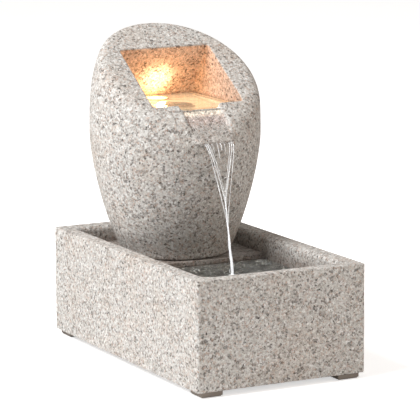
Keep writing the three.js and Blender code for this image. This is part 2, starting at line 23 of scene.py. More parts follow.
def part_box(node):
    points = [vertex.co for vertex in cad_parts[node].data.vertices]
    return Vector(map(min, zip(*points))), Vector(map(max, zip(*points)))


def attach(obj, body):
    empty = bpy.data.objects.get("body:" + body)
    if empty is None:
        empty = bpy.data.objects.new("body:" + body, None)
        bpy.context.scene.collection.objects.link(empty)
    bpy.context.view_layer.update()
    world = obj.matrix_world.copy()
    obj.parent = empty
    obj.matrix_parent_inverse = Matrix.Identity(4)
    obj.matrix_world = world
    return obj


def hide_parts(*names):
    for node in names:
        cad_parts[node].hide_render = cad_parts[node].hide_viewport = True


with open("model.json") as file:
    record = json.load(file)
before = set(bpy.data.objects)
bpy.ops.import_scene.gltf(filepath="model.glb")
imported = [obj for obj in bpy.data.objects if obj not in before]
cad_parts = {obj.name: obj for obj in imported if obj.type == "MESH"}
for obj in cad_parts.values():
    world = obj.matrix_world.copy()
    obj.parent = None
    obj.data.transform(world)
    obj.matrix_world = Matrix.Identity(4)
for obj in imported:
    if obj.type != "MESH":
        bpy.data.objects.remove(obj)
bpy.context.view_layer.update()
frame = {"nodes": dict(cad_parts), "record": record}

log = logging.getLogger("fountain")

MM = 0.001
Colour = tuple[float, float, float]
Place = tuple[float, float, float]


@cache
def extent(node: str) -> tuple[Vector, Vector]:
    """Where a CAD node reaches.

    Args:
        node: Its name.

    Returns:
        Its lowest and highest corner.
    """
    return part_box(node)


# ------------------------------------------------------------------ modelling

class Cut(Enum):
    """What a boolean does with the second solid."""

    TAKE_AWAY = "DIFFERENCE"
    JOIN = "UNION"
    KEEP_SHARED = "INTERSECT"


def deselect() -> None:
    """Leave edit mode and select nothing."""
    if bpy.context.object and bpy.context.object.mode != "OBJECT":
        bpy.ops.object.mode_set(mode="OBJECT")
    bpy.ops.object.select_all(action="DESELECT")


class Solid:
    """A mesh on the bench, shaped with the operators that a person would use."""

    def __init__(self, thing: bpy.types.Object, name: str) -> None:
        """Take over a new object.

        Args:
            thing: The object that a primitive operator has just added.
            name: Its name from now on.
        """
        self.thing = thing
        thing.name = thing.data.name = name

    @classmethod
    def box(cls, name: str, low: Sequence[float], high: Sequence[float]) -> Solid:
        """Add a box between two corners.

        Args:
            name: Name of the piece.
            low: Lowest corner.
            high: Highest corner.

        Returns:
            The box, with its place in its mesh.
        """
        deselect()
        size = [b - a for a, b in zip(low, high)]
        middle = [(a + b) / 2 for a, b in zip(low, high)]
        bpy.ops.mesh.primitive_cube_add(size=1, location=middle, scale=size)
        return cls(bpy.context.object, name).settle()

    @classmethod
    def tilted_box(cls, name: str, size: Sequence[float], middle: Sequence[float], tilt: float) -> Solid:
        """Add a box turned about X.

        Args:
            name: Name of the piece.
            size: Its sides before it is turned.
            middle: Its centre.
            tilt: Angle about X, which raises its +Y end.

        Returns:
            The box, with its place in its mesh.
        """
        deselect()
        bpy.ops.mesh.primitive_cube_add(size=1, location=middle, rotation=(tilt, 0, 0), scale=size)
        return cls(bpy.context.object, name).settle()

    @classmethod
    def bar(cls, name: str, radius: float, low: Place, high: Place, sides: int = 48) -> Solid:
        """Add a round bar between two points on one axis.

        Args:
            name: Name of the piece.
            radius: Its radius.
            low: Middle of its first end.
            high: Middle of its other end.
            sides: Number of its faces round.

        Returns:
            The bar, with its place in its mesh.
        """
        deselect()
        along = Vector(high) - Vector(low)
        turn = along.to_track_quat("Z", "Y").to_euler()
        bpy.ops.mesh.primitive_cylinder_add(
            vertices=sides, radius=radius, depth=along.length, location=(Vector(low) + Vector(high)) / 2,
            rotation=turn,
        )
        return cls(bpy.context.object, name).settle()

    @classmethod
    def ball(cls, name: str, radius: float, middle: Place, sides: int = 12, rings: int = 8) -> Solid:
        """Add a round bead.

        Args:
            name: Name of the piece.
            radius: Its radius.
            middle: Its centre.
            sides: Number of its faces round.
            rings: Number of its faces from pole to pole.

        Returns:
            The bead, with its place in its mesh.
        """
        deselect()
        bpy.ops.mesh.primitive_uv_sphere_add(segments=sides, ring_count=rings, radius=radius, location=middle)
        return cls(bpy.context.object, name).settle()

    @classmethod
    def grid(cls, name: str, low: Sequence[float], high: Sequence[float], height: float,
             step: float) -> Solid:
        """Add a level sheet of small squares.

        Args:
            name: Name of the piece.
            low: Its lowest X and Y.
            high: Its highest X and Y.
            height: Its Z.
            step: Size of a square.

        Returns:
            The sheet, with its place in its mesh.
        """
        deselect()
        across, along = high[0] - low[0], high[1] - low[1]
        bpy.ops.mesh.primitive_grid_add(
            x_subdivisions=max(1, round(across / step)), y_subdivisions=max(1, round(along / step)), size=1,
            location=((low[0] + high[0]) / 2, (low[1] + high[1]) / 2, height),
        )
        sheet = cls(bpy.context.object, name)
        sheet.thing.scale = (across, along, 1)
        return sheet.settle()

    def settle(self) -> Solid:
        """Put the object's place into its mesh, and return the solid.

        Returns:
            The solid.
        """
        self.activate()
        bpy.ops.object.transform_apply(location=True, rotation=True, scale=True)
        return self

    def activate(self) -> None:
        """Select this object alone."""
        deselect()
        self.thing.select_set(True)
        bpy.context.view_layer.objects.active = self.thing

    @contextmanager
    def edit(self) -> Iterator[None]:
        """Open edit mode with nothing selected, and close it again.

        Returns:
            The context, with edit mode open.
        """
        self.activate()
        bpy.ops.object.mode_set(mode="EDIT")
        bpy.ops.mesh.select_all(action="DESELECT")
        yield
        bpy.ops.object.mode_set(mode="OBJECT")

    def pick_edges(self, test: Callable[[Vector, Vector], bool]) -> None:
        """Select the edges whose two ends pass a test.

        Args:
            test: Takes the two ends and says whether the edge is wanted.
        """
        bpy.ops.mesh.select_all(action="DESELECT")
        bpy.ops.mesh.select_mode(type="EDGE")
        mesh = bmesh.from_edit_mesh(self.thing.data)
        for edge in mesh.edges:
            edge.select_set(test(edge.verts[0].co, edge.verts[1].co))
        bmesh.update_edit_mesh(self.thing.data)

    def pick_faces(self, test: Callable[[Vector, Vector], bool]) -> None:
        """Select the faces whose middle and normal pass a test.

        Args:
            test: Takes the middle and the normal and says whether the face is wanted.
        """
        bpy.ops.mesh.select_all(action="DESELECT")
        bpy.ops.mesh.select_mode(type="FACE")
        mesh = bmesh.from_edit_mesh(self.thing.data)
        for face in mesh.faces:
            face.select_set(test(face.calc_center_median(), face.normal))
        bmesh.update_edit_mesh(self.thing.data)

    def bevel(self, test: Callable[[Vector, Vector], bool], width: float, segments: int) -> None:
        """Round some edges, in edit mode.

        Args:
            test: Picks the edges by their ends.
            width: How far the rounding reaches.
            segments: Number of faces in it.
        """
        self.pick_edges(test)
        bpy.ops.mesh.bevel(offset=width, segments=segments, affect="EDGES", clamp_overlap=True)

    def slice(self, point: Sequence[float], normal: Sequence[float]) -> Solid:
        """Cut off what lies on the side that a plane's normal points to, and close the cut.

        Args:
            point: A point of the plane.
            normal: The plane's normal.

        Returns:
            This solid.
        """
        with self.edit():
            bpy.ops.mesh.select_all(action="SELECT")
            bpy.ops.mesh.bisect(plane_co=point, plane_no=normal, use_fill=True, clear_outer=True)
        return self

    def combine(self, other: Solid, how: Cut) -> Solid:
        """Join or cut this solid with another, which is used up.

        Args:
            other: The second solid.
            how: What to do with it.

        Returns:
            This solid.
        """
        self.modify("BOOLEAN", object=other.thing, operation=how.value, solver="EXACT")
        bpy.data.objects.remove(other.thing)
        return self

    def modify(self, kind: str, **settings: object) -> Solid:
        """Add a modifier and apply it.

        Args:
            kind: The modifier's type.
            **settings: Its properties.

        Returns:
            This solid.
        """
        self.activate()
        modifier = self.thing.modifiers.new(kind.title(), kind)
        for name, value in settings.items():
            setattr(modifier, name, value)
        bpy.ops.object.modifier_apply(modifier=modifier.name)
        return self

    def move_points(self, rule: Callable[[Vector], Vector]) -> Solid:
        """Work the surface: send every point to where a rule says.

        Args:
            rule: Takes a point and gives its new place.

        Returns:
            This solid.
        """
        for vertex in self.thing.data.vertices:
            vertex.co = rule(vertex.co)
        self.thing.data.update()
        return self

    def thicken_down(self, depth: float) -> Solid:
        """Give a sheet a flat underside and walls.

        Args:
            depth: How far below its lowest point the underside lies.

        Returns:
            This solid.
        """
        bottom = min(vertex.co.z for vertex in self.thing.data.vertices) - depth
        with self.edit():
            bpy.ops.mesh.select_all(action="SELECT")
            bpy.ops.mesh.extrude_region_move(TRANSFORM_OT_translate={"value": (0, 0, -1)})
        for vertex in self.thing.data.vertices:
            if vertex.co.z < bottom - depth:
                vertex.co.z = bottom
        return self.face_out()

    def face_out(self) -> Solid:
        """Merge doubles and turn every face outwards.

        Returns:
            The solid.
        """
        with self.edit():
            bpy.ops.mesh.select_all(action="SELECT")
            bpy.ops.mesh.remove_doubles(threshold=1e-6)
            bpy.ops.mesh.normals_make_consistent(inside=False)
        return self

    def finish(self, body: str, slot: str, material: bpy.types.Material, angle: float = 30.0) -> Solid:
        """Shade the piece, dress it and give it its body.

        Args:
            body: The body that it rides on.
            slot: The record's slot that its finish comes from. Not used.
            material: Its material.
            angle: Edges sharper than this, in degrees, stay crisp.

        Returns:
            This solid.
        """
        self.activate()
        bpy.ops.object.shade_smooth_by_angle(angle=math.radians(angle))
        self.thing.data.materials.clear()
        self.thing.data.materials.append(material)
        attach(self.thing, body)
        log.info("%s: %d faces, rides on %s", self.thing.name, len(self.thing.data.polygons), body)
        return self


def upright(a: Vector, b: Vector) -> bool:
    """Whether an edge stands straight up."""
    return abs(a.x - b.x) + abs(a.y - b.y) < 1e-6


def level_at(height: float, a: Vector, b: Vector) -> bool:
    """Whether an edge lies level at a height."""
    return abs(a.z - height) < 1e-5 and abs(b.z - height) < 1e-5


# ------------------------------------------------------------------ node wiring

Source = "bpy.types.NodeSocket | float | Sequence[float]"


class Wiring:
    """Adds and joins the nodes of one tree."""

    def __init__(self, tree: bpy.types.NodeTree) -> None:
        """Work on a node tree.

        Args:
            tree: The tree to add nodes to.
        """
        self.tree = tree

    def add(self, kind: str, settings: dict[str, object] | None = None,
            inputs: dict[str | int, Source] | None = None) -> bpy.types.Node:
        """Add a node.

        Args:
            kind: Its type, without the ShaderNode prefix.
            settings: Its properties.
            inputs: Values or sockets for its inputs, by name or number.

        Returns:
            The node.
        """
        node = self.tree.nodes.new("ShaderNode" + kind)
        for name, value in (settings or {}).items():
            setattr(node, name, value)
        for key, value in (inputs or {}).items():
            self.feed(node.inputs[key], value)
        return node

    def feed(self, socket: bpy.types.NodeSocket, value: Source) -> None:
        """Give an input a value or a link.

        Args:
            socket: The input.
            value: A plain value, or the socket to link.
        """
        if isinstance(value, bpy.types.NodeSocket):
            self.tree.links.new(value, socket)
        elif isinstance(value, (tuple, list)) and socket.type == "RGBA":
            socket.default_value = (*value[:3], 1.0)
        else:
            socket.default_value = value

    def sum(self, how: str, first: Source, second: Source = 0.0, clamp: bool = False) -> bpy.types.NodeSocket:
        """Add a Math node and return its result."""
        return self.add("Math", {"operation": how, "use_clamp": clamp}, {0: first, 1: second}).outputs[0]

    def fade(self, value: Source, start: float, end: float) -> bpy.types.NodeSocket:
        """A smooth mask that goes from 0 at start to 1 at end."""
        settings = {"interpolation_type": "SMOOTHSTEP"}
        return self.add("MapRange", settings, {0: value, 1: start, 2: end}).outputs[0]

    def blend(self, factor: Source, first: Source, second: Source, how: str = "MIX") -> bpy.types.NodeSocket:
        """Mix two colours and return the result."""
        settings = {"data_type": "RGBA", "blend_type": how, "clamp_factor": True}
        return self.add("Mix", settings, {0: factor, 6: first, 7: second}).outputs[2]

    def ramp(self, factor: Source, stops: Sequence[tuple[float, Colour]],
             steps: bool = False) -> bpy.types.NodeSocket:
        """Turn a value into a colour.

        Args:
            factor: The value.
            stops: Each position and its colour.
            steps: Whether colours change at once from stop to stop.

        Returns:
            The colour.
        """
        node = self.add("ValToRGB", None, {0: factor})
        band = node.color_ramp
        band.interpolation = "CONSTANT" if steps else "LINEAR"
        while len(band.elements) < len(stops):
            band.elements.new(0.5)
        for element, (position, colour) in zip(band.elements, stops):
            element.position = position
            element.color = (*colour, 1.0)
        return node.outputs[0]

    def noise(self, vector: Source, scale: float, detail: float = 2.0) -> bpy.types.NodeSocket:
        """A soft noise, as a value."""
        return self.add("TexNoise", None, {"Vector": vector, "Scale": scale, "Detail": detail}).outputs[0]

    def cells(self, vector: Source, scale: float) -> bpy.types.Node:
        """Random cells, with their distance and colour."""
        return self.add("TexVoronoi", None, {"Vector": vector, "Scale": scale})


def new_group(name: str, takes: dict[str, tuple[str, object]],
              gives: dict[str, str]) -> tuple[Wiring, dict, dict]:
    """Make a shader node group with named sockets.

    Args:
        name: The group's name.
        takes: Each input's name, with its kind and default value.
        gives: Each output's name, with its kind.

    Returns:
        The group's wiring, its input sockets by name, and the sockets to feed for its outputs.
    """
    tree = bpy.data.node_groups.new(name, "ShaderNodeTree")
    for label, (kind, default) in takes.items():
        made = tree.interface.new_socket(name=label, in_out="INPUT", socket_type="NodeSocket" + kind)
        if default is not None:
            made.default_value = default
    for label, kind in gives.items():
        tree.interface.new_socket(name=label, in_out="OUTPUT", socket_type="NodeSocket" + kind)
    entry = tree.nodes.new("NodeGroupInput")
    leave = tree.nodes.new("NodeGroupOutput")
    sources = {socket.name: socket for socket in entry.outputs if socket.name}
    results = {socket.name: socket for socket in leave.inputs if socket.name}
    return Wiring(tree), sources, results


def chippings_group() -> bpy.types.NodeTree:
    """Cast stone made of mixed fine chippings: its colour, roughness and height.

    Returns:
        The node group.
    """
    wire, takes, gives = new_group(
        "Chippings",
        {"Vector": ("Vector", None), "Grain": ("Float", 500.0), "Wetness": ("Float", 0.0)},
        {"Color": "Color", "Roughness": "Float", "Height": "Float"},
    )
    vector, grain, wet = takes["Vector"], takes["Grain"], takes["Wetness"]
    coarse = wire.cells(vector, grain)
    fine = wire.cells(vector, wire.sum("MULTIPLY", grain, 1.9))
    coarse_pick = wire.add("SeparateColor", None, {0: coarse.outputs["Color"]})
    fine_pick = wire.add("SeparateColor", None, {0: fine.outputs["Color"]})
    chips = wire.ramp(coarse_pick.outputs[0], (
        (0.0, (0.52, 0.505, 0.48)), (0.3, (0.63, 0.62, 0.60)), (0.5, (0.40, 0.37, 0.345)),
        (0.66, (0.47, 0.385, 0.335)), (0.75, (0.19, 0.165, 0.145)), (0.87, (0.76, 0.755, 0.74)),
        (0.93, (0.055, 0.048, 0.043)),
    ), steps=True)
    flecks = wire.ramp(fine_pick.outputs[1], (
        (0.0, (0.56, 0.55, 0.53)), (0.4, (0.43, 0.405, 0.375)), (0.62, (0.23, 0.205, 0.185)),
        (0.75, (0.75, 0.745, 0.73)), (0.87, (0.07, 0.06, 0.052)),
    ), steps=True)
    mixed = wire.blend(0.42, chips, flecks)
    patches = wire.fade(wire.noise(vector, 24.0, 3.0), 0.45, 0.72)
    warm = wire.blend(wire.sum("MULTIPLY", patches, 0.25), mixed, (0.93, 0.80, 0.70), "MULTIPLY")
    rust_seed = wire.fade(fine_pick.outputs[2], 0.93, 0.96)
    rusty = wire.blend(wire.sum("MULTIPLY", rust_seed, 0.5), warm, (0.52, 0.33, 0.24))
    soaked = wire.blend(wet, rusty, (0.56, 0.51, 0.49), "MULTIPLY")
    wire.feed(gives["Color"], soaked)
    rough = wire.sum("ADD", wire.sum("MULTIPLY", coarse_pick.outputs[2], 0.16), 0.72)
    wire.feed(gives["Roughness"], wire.sum("SUBTRACT", rough, wire.sum("MULTIPLY", wet, 0.5), clamp=True))
    bumps = wire.sum("MULTIPLY", wire.noise(vector, wire.sum("MULTIPLY", grain, 2.2), 3.0), 0.5)
    pits = wire.sum("MULTIPLY", coarse.outputs["Distance"], 0.9)
    wire.feed(gives["Height"], wire.sum("SUBTRACT", bumps, pits))
    return wire.tree


def grain_group() -> bpy.types.NodeTree:
    """Fine surface grain of moulded and machined pieces: a shade, a roughness and a height.

    Returns:
        The node group.
    """
    wire, takes, gives = new_group(
        "FineGrain",
        {"Vector": ("Vector", None), "Scale": ("Float", 900.0), "Base": ("Color", None),
         "Dull": ("Float", 0.5)},
        {"Color": "Color", "Roughness": "Float", "Height": "Float"},
    )
    grain = wire.noise(takes["Vector"], takes["Scale"], 3.0)
    worn = wire.noise(takes["Vector"], 40.0, 2.0)
    shade = wire.ramp(worn, ((0.3, (0.82, 0.82, 0.82)), (0.7, (1.0, 1.0, 1.0))))
    wire.feed(gives["Color"], wire.blend(1.0, takes["Base"], shade, "MULTIPLY"))
    spread = wire.sum("MULTIPLY", wire.sum("SUBTRACT", worn, 0.5), 0.25)
    wire.feed(gives["Roughness"], wire.sum("ADD", takes["Dull"], spread, clamp=True))
    wire.feed(gives["Height"], grain)
    return wire.tree


def ripple_group() -> bpy.types.NodeTree:
    """Small ripples on water, as a height.

    Returns:
        The node group.
    """
    wire, takes, gives = new_group(
        "Ripples", {"Vector": ("Vector", None), "Scale": ("Float", 120.0)}, {"Height": "Float"},
    )
    broad = wire.noise(takes["Vector"], takes["Scale"], 1.0)
    small = wire.noise(takes["Vector"], wire.sum("MULTIPLY", takes["Scale"], 3.0), 1.0)
    wire.feed(gives["Height"], wire.sum("ADD", broad, wire.sum("MULTIPLY", small, 0.3)))
    return wire.tree


CHIPPINGS = chippings_group()
FINE_GRAIN = grain_group()
RIPPLES = ripple_group()


def new_material(name: str) -> tuple[bpy.types.Material, Wiring, bpy.types.Node, bpy.types.NodeSocket]:
    """Start a material.

    Args:
        name: Its name.

    Returns:
        The material, its wiring, its Principled BSDF and the piece's own coordinates.
    """
    material = bpy.data.materials.new(name)
    material.use_nodes = True
    wire = Wiring(material.node_tree)
    shader = material.node_tree.nodes["Principled BSDF"]
    return material, wire, shader, wire.add("TexCoord").outputs["Object"]


def place_group(wire: Wiring, tree: bpy.types.NodeTree, inputs: dict[str, Source]) -> bpy.types.Node:
    """Put a node group into a material.

    Args:
        wire: The material's wiring.
        tree: The group.
        inputs: Values or sockets for its inputs.

    Returns:
        The group's node.
    """
    node = wire.add("Group", {"node_tree": tree})
    for name, value in inputs.items():
        wire.feed(node.inputs[name], value)
    return node


# ------------------------------------------------------------------ finishes

@dataclass(frozen=True)
class Moulded:
    """A plastic, rubber, ceramic or metal piece with a fine grain."""

    name: str
    colour: Colour
    roughness: float = 0.5
    metallic: float = 0.0
    grain: float = 900.0
    relief: float = 0.00004
    emission: float = 0.0

    def material(self) -> bpy.types.Material:
        """Build the material.

        Returns:
            The material.
        """
        material, wire, shader, here = new_material(self.name)
        skin = place_group(wire, FINE_GRAIN, {
            "Vector": here, "Scale": self.grain, "Base": self.colour, "Dull": self.roughness,
        })
        wire.feed(shader.inputs["Base Color"], skin.outputs["Color"])
        wire.feed(shader.inputs["Roughness"], skin.outputs["Roughness"])
        shader.inputs["Metallic"].default_value = self.metallic
        bump = wire.add("Bump", None, {"Distance": self.relief, "Height": skin.outputs["Height"]})
        wire.feed(shader.inputs["Normal"], bump.outputs[0])
        if self.emission:
            shader.inputs["Emission Color"].default_value = (*self.colour, 1.0)
            shader.inputs["Emission Strength"].default_value = self.emission
        return material


@dataclass(frozen=True)
class Winding:
    """Enamelled wire wound in layers."""

    name: str = "enamelled_copper"
    pitch: float = 0.0005

    def material(self) -> bpy.types.Material:
        """Build the material.

        Returns:
            The material.
        """
        material, wire, shader, here = new_material(self.name)
        settings = {"wave_type": "BANDS", "bands_direction": "X"}
        turns = wire.add("TexWave", settings, {"Vector": here, "Scale": 0.314 / self.pitch})
        # The copper is painted dark in the grooves between turns: painted shade.
        colour = wire.ramp(turns.outputs["Fac"], ((0.1, (0.18, 0.05, 0.02)), (0.6, (0.72, 0.34, 0.16))))
        wire.feed(shader.inputs["Base Color"], colour)
        shader.inputs["Metallic"].default_value = 1.0
        shader.inputs["Roughness"].default_value = 0.3
        bump = wire.add("Bump", None, {"Distance": self.pitch / 4, "Height": turns.outputs["Fac"]})
        wire.feed(shader.inputs["Normal"], bump.outputs[0])
        return material


@dataclass(frozen=True)
class Foam:
    """Open-cell filter foam."""

    name: str = "filter_foam"
    cell: float = 0.0011

    def material(self) -> bpy.types.Material:
        """Build the material.

        Returns:
            The material.
        """
        material, wire, shader, here = new_material(self.name)
        holes = wire.cells(here, 1 / self.cell)
        # The pores are painted darker than the struts: painted shade.
        stops = ((0.0, (0.004, 0.004, 0.005)), (0.6, (0.07, 0.075, 0.085)))
        colour = wire.ramp(holes.outputs["Distance"], stops)
        wire.feed(shader.inputs["Base Color"], colour)
        shader.inputs["Roughness"].default_value = 0.95
        bump = wire.add("Bump", None, {"Distance": self.cell / 2, "Height": holes.outputs["Distance"]})
        wire.feed(shader.inputs["Normal"], bump.outputs[0])
        return material


@dataclass(frozen=True)
class Water:
    """Clear water, which can give off a painted glow."""

    name: str
    tint: Colour
    ripple: float = 120.0
    relief: float = 0.0002
    roughness: float = 0.03
    clearness: float = 1.0
    # Emission of the water itself: a painted glow.
    painted_glow: float = 0.0
    cover: float = 1.0

    def material(self) -> bpy.types.Material:
        """Build the material.

        Returns:
            The material.
        """
        material, wire, shader, here = new_material(self.name)
        shader.inputs["Base Color"].default_value = (*self.tint, 1.0)
        shader.inputs["Roughness"].default_value = self.roughness
        shader.inputs["IOR"].default_value = 1.333
        shader.inputs["Transmission Weight"].default_value = self.clearness
        shader.inputs["Emission Color"].default_value = (*self.tint, 1.0)
        shader.inputs["Emission Strength"].default_value = self.painted_glow
        shader.inputs["Alpha"].default_value = self.cover
        waves = place_group(wire, RIPPLES, {"Vector": here, "Scale": self.ripple})
        bump = wire.add("Bump", None, {"Distance": self.relief, "Height": waves.outputs["Height"]})
        wire.feed(shader.inputs["Normal"], bump.outputs[0])
        return material


class Dampness(Enum):
    """Where a stone piece is wet."""

    TROUGH = "inside the trough, below the splash line"
    DECK = "over the deck"
    VESSEL = "in the recess, down the chute and over the lip"


@dataclass(frozen=True)
class CastStone:
    """Cast stone with mixed chippings, damp in one place, and in the vessel with the lamp's light painted on
    as a painted glow and a painted warm tint.
    """

    name: str
    damp: Dampness
    relief: float = 0.00035
    wet_wall: tuple[float, float] = (10 * MM, 14 * MM)
    splash_line: tuple[float, float] = (6 * MM, 18 * MM)
    mask_edge: float = 0.6 * MM
    # Reach and colour of the lamp's light that is painted on the stone as emission: a wash, a hot spot, and a
    # crest and run down the chute.
    wash_reach: tuple[float, float] = (130 * MM, 8 * MM)
    spot_reach: tuple[float, float] = (25 * MM, 4 * MM)
    painted_wash_colour: Colour = (0.56, 0.30, 0.17)
    painted_spot_colour: Colour = (2.1, 1.75, 1.15)
    painted_run_colour: Colour = (0.30, 0.13, 0.10)
    painted_crest_colour: Colour = (2.5, 2.3, 1.9)

    def material(self) -> bpy.types.Material:
        """Build the material.

        Returns:
            The material.
        """
        material, wire, shader, here = new_material(self.name)
        axes = wire.add("SeparateXYZ", None, {0: here}).outputs
        painted_glow = painted_lamp_tint = None
        if self.damp is Dampness.TROUGH:
            wetness = self._inside_trough(wire, axes)
        elif self.damp is Dampness.DECK:
            wetness = self._over_deck(wire, here)
        else:
            wetness, painted_glow, painted_lamp_tint = self._in_recess(wire, here, axes)
        stone = place_group(wire, CHIPPINGS, {"Vector": here, "Wetness": wetness})
        colour = stone.outputs["Color"]
        # Painted warm light and shade: on the recess walls the stone's colour is darkened and tinted
        # orange-brown, as the lamp's light and the recess's shade would make it.
        if painted_lamp_tint is not None:
            colour = wire.blend(painted_lamp_tint, colour, wire.blend(1.0, colour, (0.86, 0.72, 0.63), "MULTIPLY"))
        wire.feed(shader.inputs["Base Color"], colour)
        wire.feed(shader.inputs["Roughness"], stone.outputs["Roughness"])
        bump = wire.add("Bump", None, {"Distance": self.relief, "Height": stone.outputs["Height"]})
        wire.feed(shader.inputs["Normal"], bump.outputs[0])
        # Painted glow: the stone itself gives off the lamp's light in the recess and down the chute.
        if painted_glow is not None:
            lit = wire.blend(1.0, stone.outputs["Color"], painted_glow, "MULTIPLY")
            wire.feed(shader.inputs["Emission Color"], lit)
            shader.inputs["Emission Strength"].default_value = 1.0
        return material

    def _inside_trough(self, wire: Wiring, axes: Sequence[bpy.types.NodeSocket]) -> bpy.types.NodeSocket:
        """Mask of the inner walls up to the splash line.

        Args:
            wire: The tree to add nodes to.
            axes: X, Y and Z of the shaded point.

        Returns:
            The mask, 0 to 0.8.
        """
        low, high = extent("basin")
        across = wire.fade(wire.sum("ABSOLUTE", axes[0]), high.x - self.wet_wall[0], high.x - self.wet_wall[1])
        along = wire.fade(wire.sum("ABSOLUTE", axes[1]), high.y - self.wet_wall[0], high.y - self.wet_wall[1])
        below = wire.fade(axes[2], high.z - self.splash_line[0], high.z - self.splash_line[1])
        inside = wire.sum("MULTIPLY", wire.sum("MULTIPLY", across, along), below)
        return wire.sum("MULTIPLY", inside, 0.8)

    def _over_deck(self, wire: Wiring, here: bpy.types.NodeSocket) -> bpy.types.NodeSocket:
        """Mask of the splashed deck, in streaks."""
        stretched = wire.add("Mapping", None, {"Vector": here, "Scale": (30.0, 110.0, 60.0)})
        return wire.fade(wire.noise(stretched.outputs[0], 1.0, 2.0), 0.25, 0.6)

    def _in_recess(self, wire: Wiring, here: bpy.types.NodeSocket,
                   axes: Sequence[bpy.types.NodeSocket]) -> tuple[bpy.types.NodeSocket, ...]:
        """Mask of the wet recess and chute, the painted glow of the lamp on its walls and chute, and a mask of
        those walls, where a warm tint is painted.

        Args:
            wire: The tree to add nodes to.
            here: The shaded point.
            axes: X, Y and Z of the shaded point.

        Returns:
            Wetness, painted glow and the walls' mask for the painted tint, in that order.
        """
        form = VesselForm()
        turned = wire.add("Mapping", {"vector_type": "TEXTURE"}, {
            "Vector": here, "Location": form.recess_corner(), "Rotation": (form.tilt, 0, 0),
        })
        local = wire.add("SeparateXYZ", None, {0: turned.outputs[0]}).outputs
        edge = self.mask_edge
        side = wire.fade(wire.sum("ABSOLUTE", axes[0]), form.recess_half + edge, form.recess_half)
        front = wire.fade(local[1], -edge, 0.0)
        back = wire.fade(local[1], form.recess_length + edge, form.recess_length)
        under = wire.fade(local[2], -0.2 * MM, -1.2 * MM)
        above_floor = wire.fade(axes[2], form.floor - 2 * MM, form.floor - MM)
        inside = wire.sum("MULTIPLY", wire.sum("MULTIPLY", side, front), wire.sum("MULTIPLY", back, under))
        inside = wire.sum("MULTIPLY", inside, above_floor)
        drowned = wire.fade(axes[2], form.water + 3 * MM, form.water)
        in_chute = wire.fade(wire.sum("ABSOLUTE", axes[0]), form.chute_half + edge, form.chute_half - edge)
        down_chute = wire.sum("MULTIPLY", in_chute, wire.fade(local[1], 2 * MM, -MM))
        below_face = wire.fade(local[2], -1.5 * MM, -3 * MM)
        run = wire.sum("MULTIPLY", down_chute, wire.sum("MULTIPLY", below_face, 0.75))
        run = wire.sum("MULTIPLY", run, wire.fade(axes[2], form.lip_bottom - 2 * MM, form.lip_bottom))
        wetness = wire.sum("MAXIMUM", wire.sum("MULTIPLY", inside, drowned), wire.sum("MULTIPLY", run, 0.2))
        return wetness, self._painted_lamp_glow(wire, here, inside, run), inside

    def _painted_lamp_glow(self, wire: Wiring, here: bpy.types.NodeSocket, inside: bpy.types.NodeSocket,
              run: bpy.types.NodeSocket) -> bpy.types.NodeSocket:
        """Painted light of the lamp, which the stone gives off itself: a hot spot over it, a soft wash that
        fades with distance, and a bright crest with a pinkish run down the chute.

        Args:
            wire: The tree to add nodes to.
            here: The shaded point.
            inside: Mask of the walls of the recess.
            run: Mask of the chute.

        Returns:
            The colour that the stone gives off.
        """
        form = VesselForm()
        distance = wire.add("VectorMath", {"operation": "DISTANCE"}, {0: here, 1: form.painted_hot_spot()})
        away = distance.outputs["Value"]
        wash = wire.fade(away, *self.wash_reach)
        spot = wire.fade(away, *self.spot_reach)
        warm = wire.blend(wash, (0.0, 0.0, 0.0), self.painted_wash_colour)
        hot = wire.blend(spot, warm, self.painted_spot_colour)
        y = wire.add("SeparateXYZ", None, {0: here}).outputs[1]
        # Painted highlight on the crest where the water spills, fading to a painted pinkish glow down the
        # chute.
        on_crest = wire.fade(y, form.crest_y - 7 * MM, form.crest_y)
        painted_spill = wire.blend(on_crest, self.painted_run_colour, self.painted_crest_colour)
        fading = wire.sum("MULTIPLY", run, wire.fade(y, form.crest_y - 19 * MM, form.crest_y - 9 * MM))
        painted_run_glow = wire.blend(fading, (0.0, 0.0, 0.0), painted_spill)
        return wire.blend(inside, painted_run_glow, hot)


FINISHES: dict[str, Moulded | Winding | Foam] = {
    "foot_rubber": Moulded("foot_rubber", (0.27, 0.235, 0.205), 0.85, relief=0.0002),
    "black_plastic": Moulded("black_plastic", (0.018, 0.018, 0.02), 0.42),
    "grey_plastic": Moulded("grey_plastic", (0.16, 0.165, 0.175), 0.45),
    "black_rubber": Moulded("black_rubber", (0.014, 0.014, 0.014), 0.7, relief=0.0001),
    "clear_tube": Moulded("clear_tube", (0.55, 0.62, 0.62), 0.2),
    "lamp_lens": Moulded("lamp_lens", (1.0, 0.62, 0.26), 0.2, emission=6.0),
    "circuit_board": Moulded("circuit_board", (0.02, 0.13, 0.05), 0.4),
    "steel": Moulded("steel", (0.56, 0.57, 0.58), 0.3, metallic=1.0),
    "copper_winding": Winding(),
    "white_ceramic": Moulded("white_ceramic", (0.82, 0.80, 0.75), 0.3),
    "ferrite": Moulded("ferrite", (0.035, 0.037, 0.042), 0.5),
    "filter_foam": Foam(),
}


# ------------------------------------------------------------------ the vessel

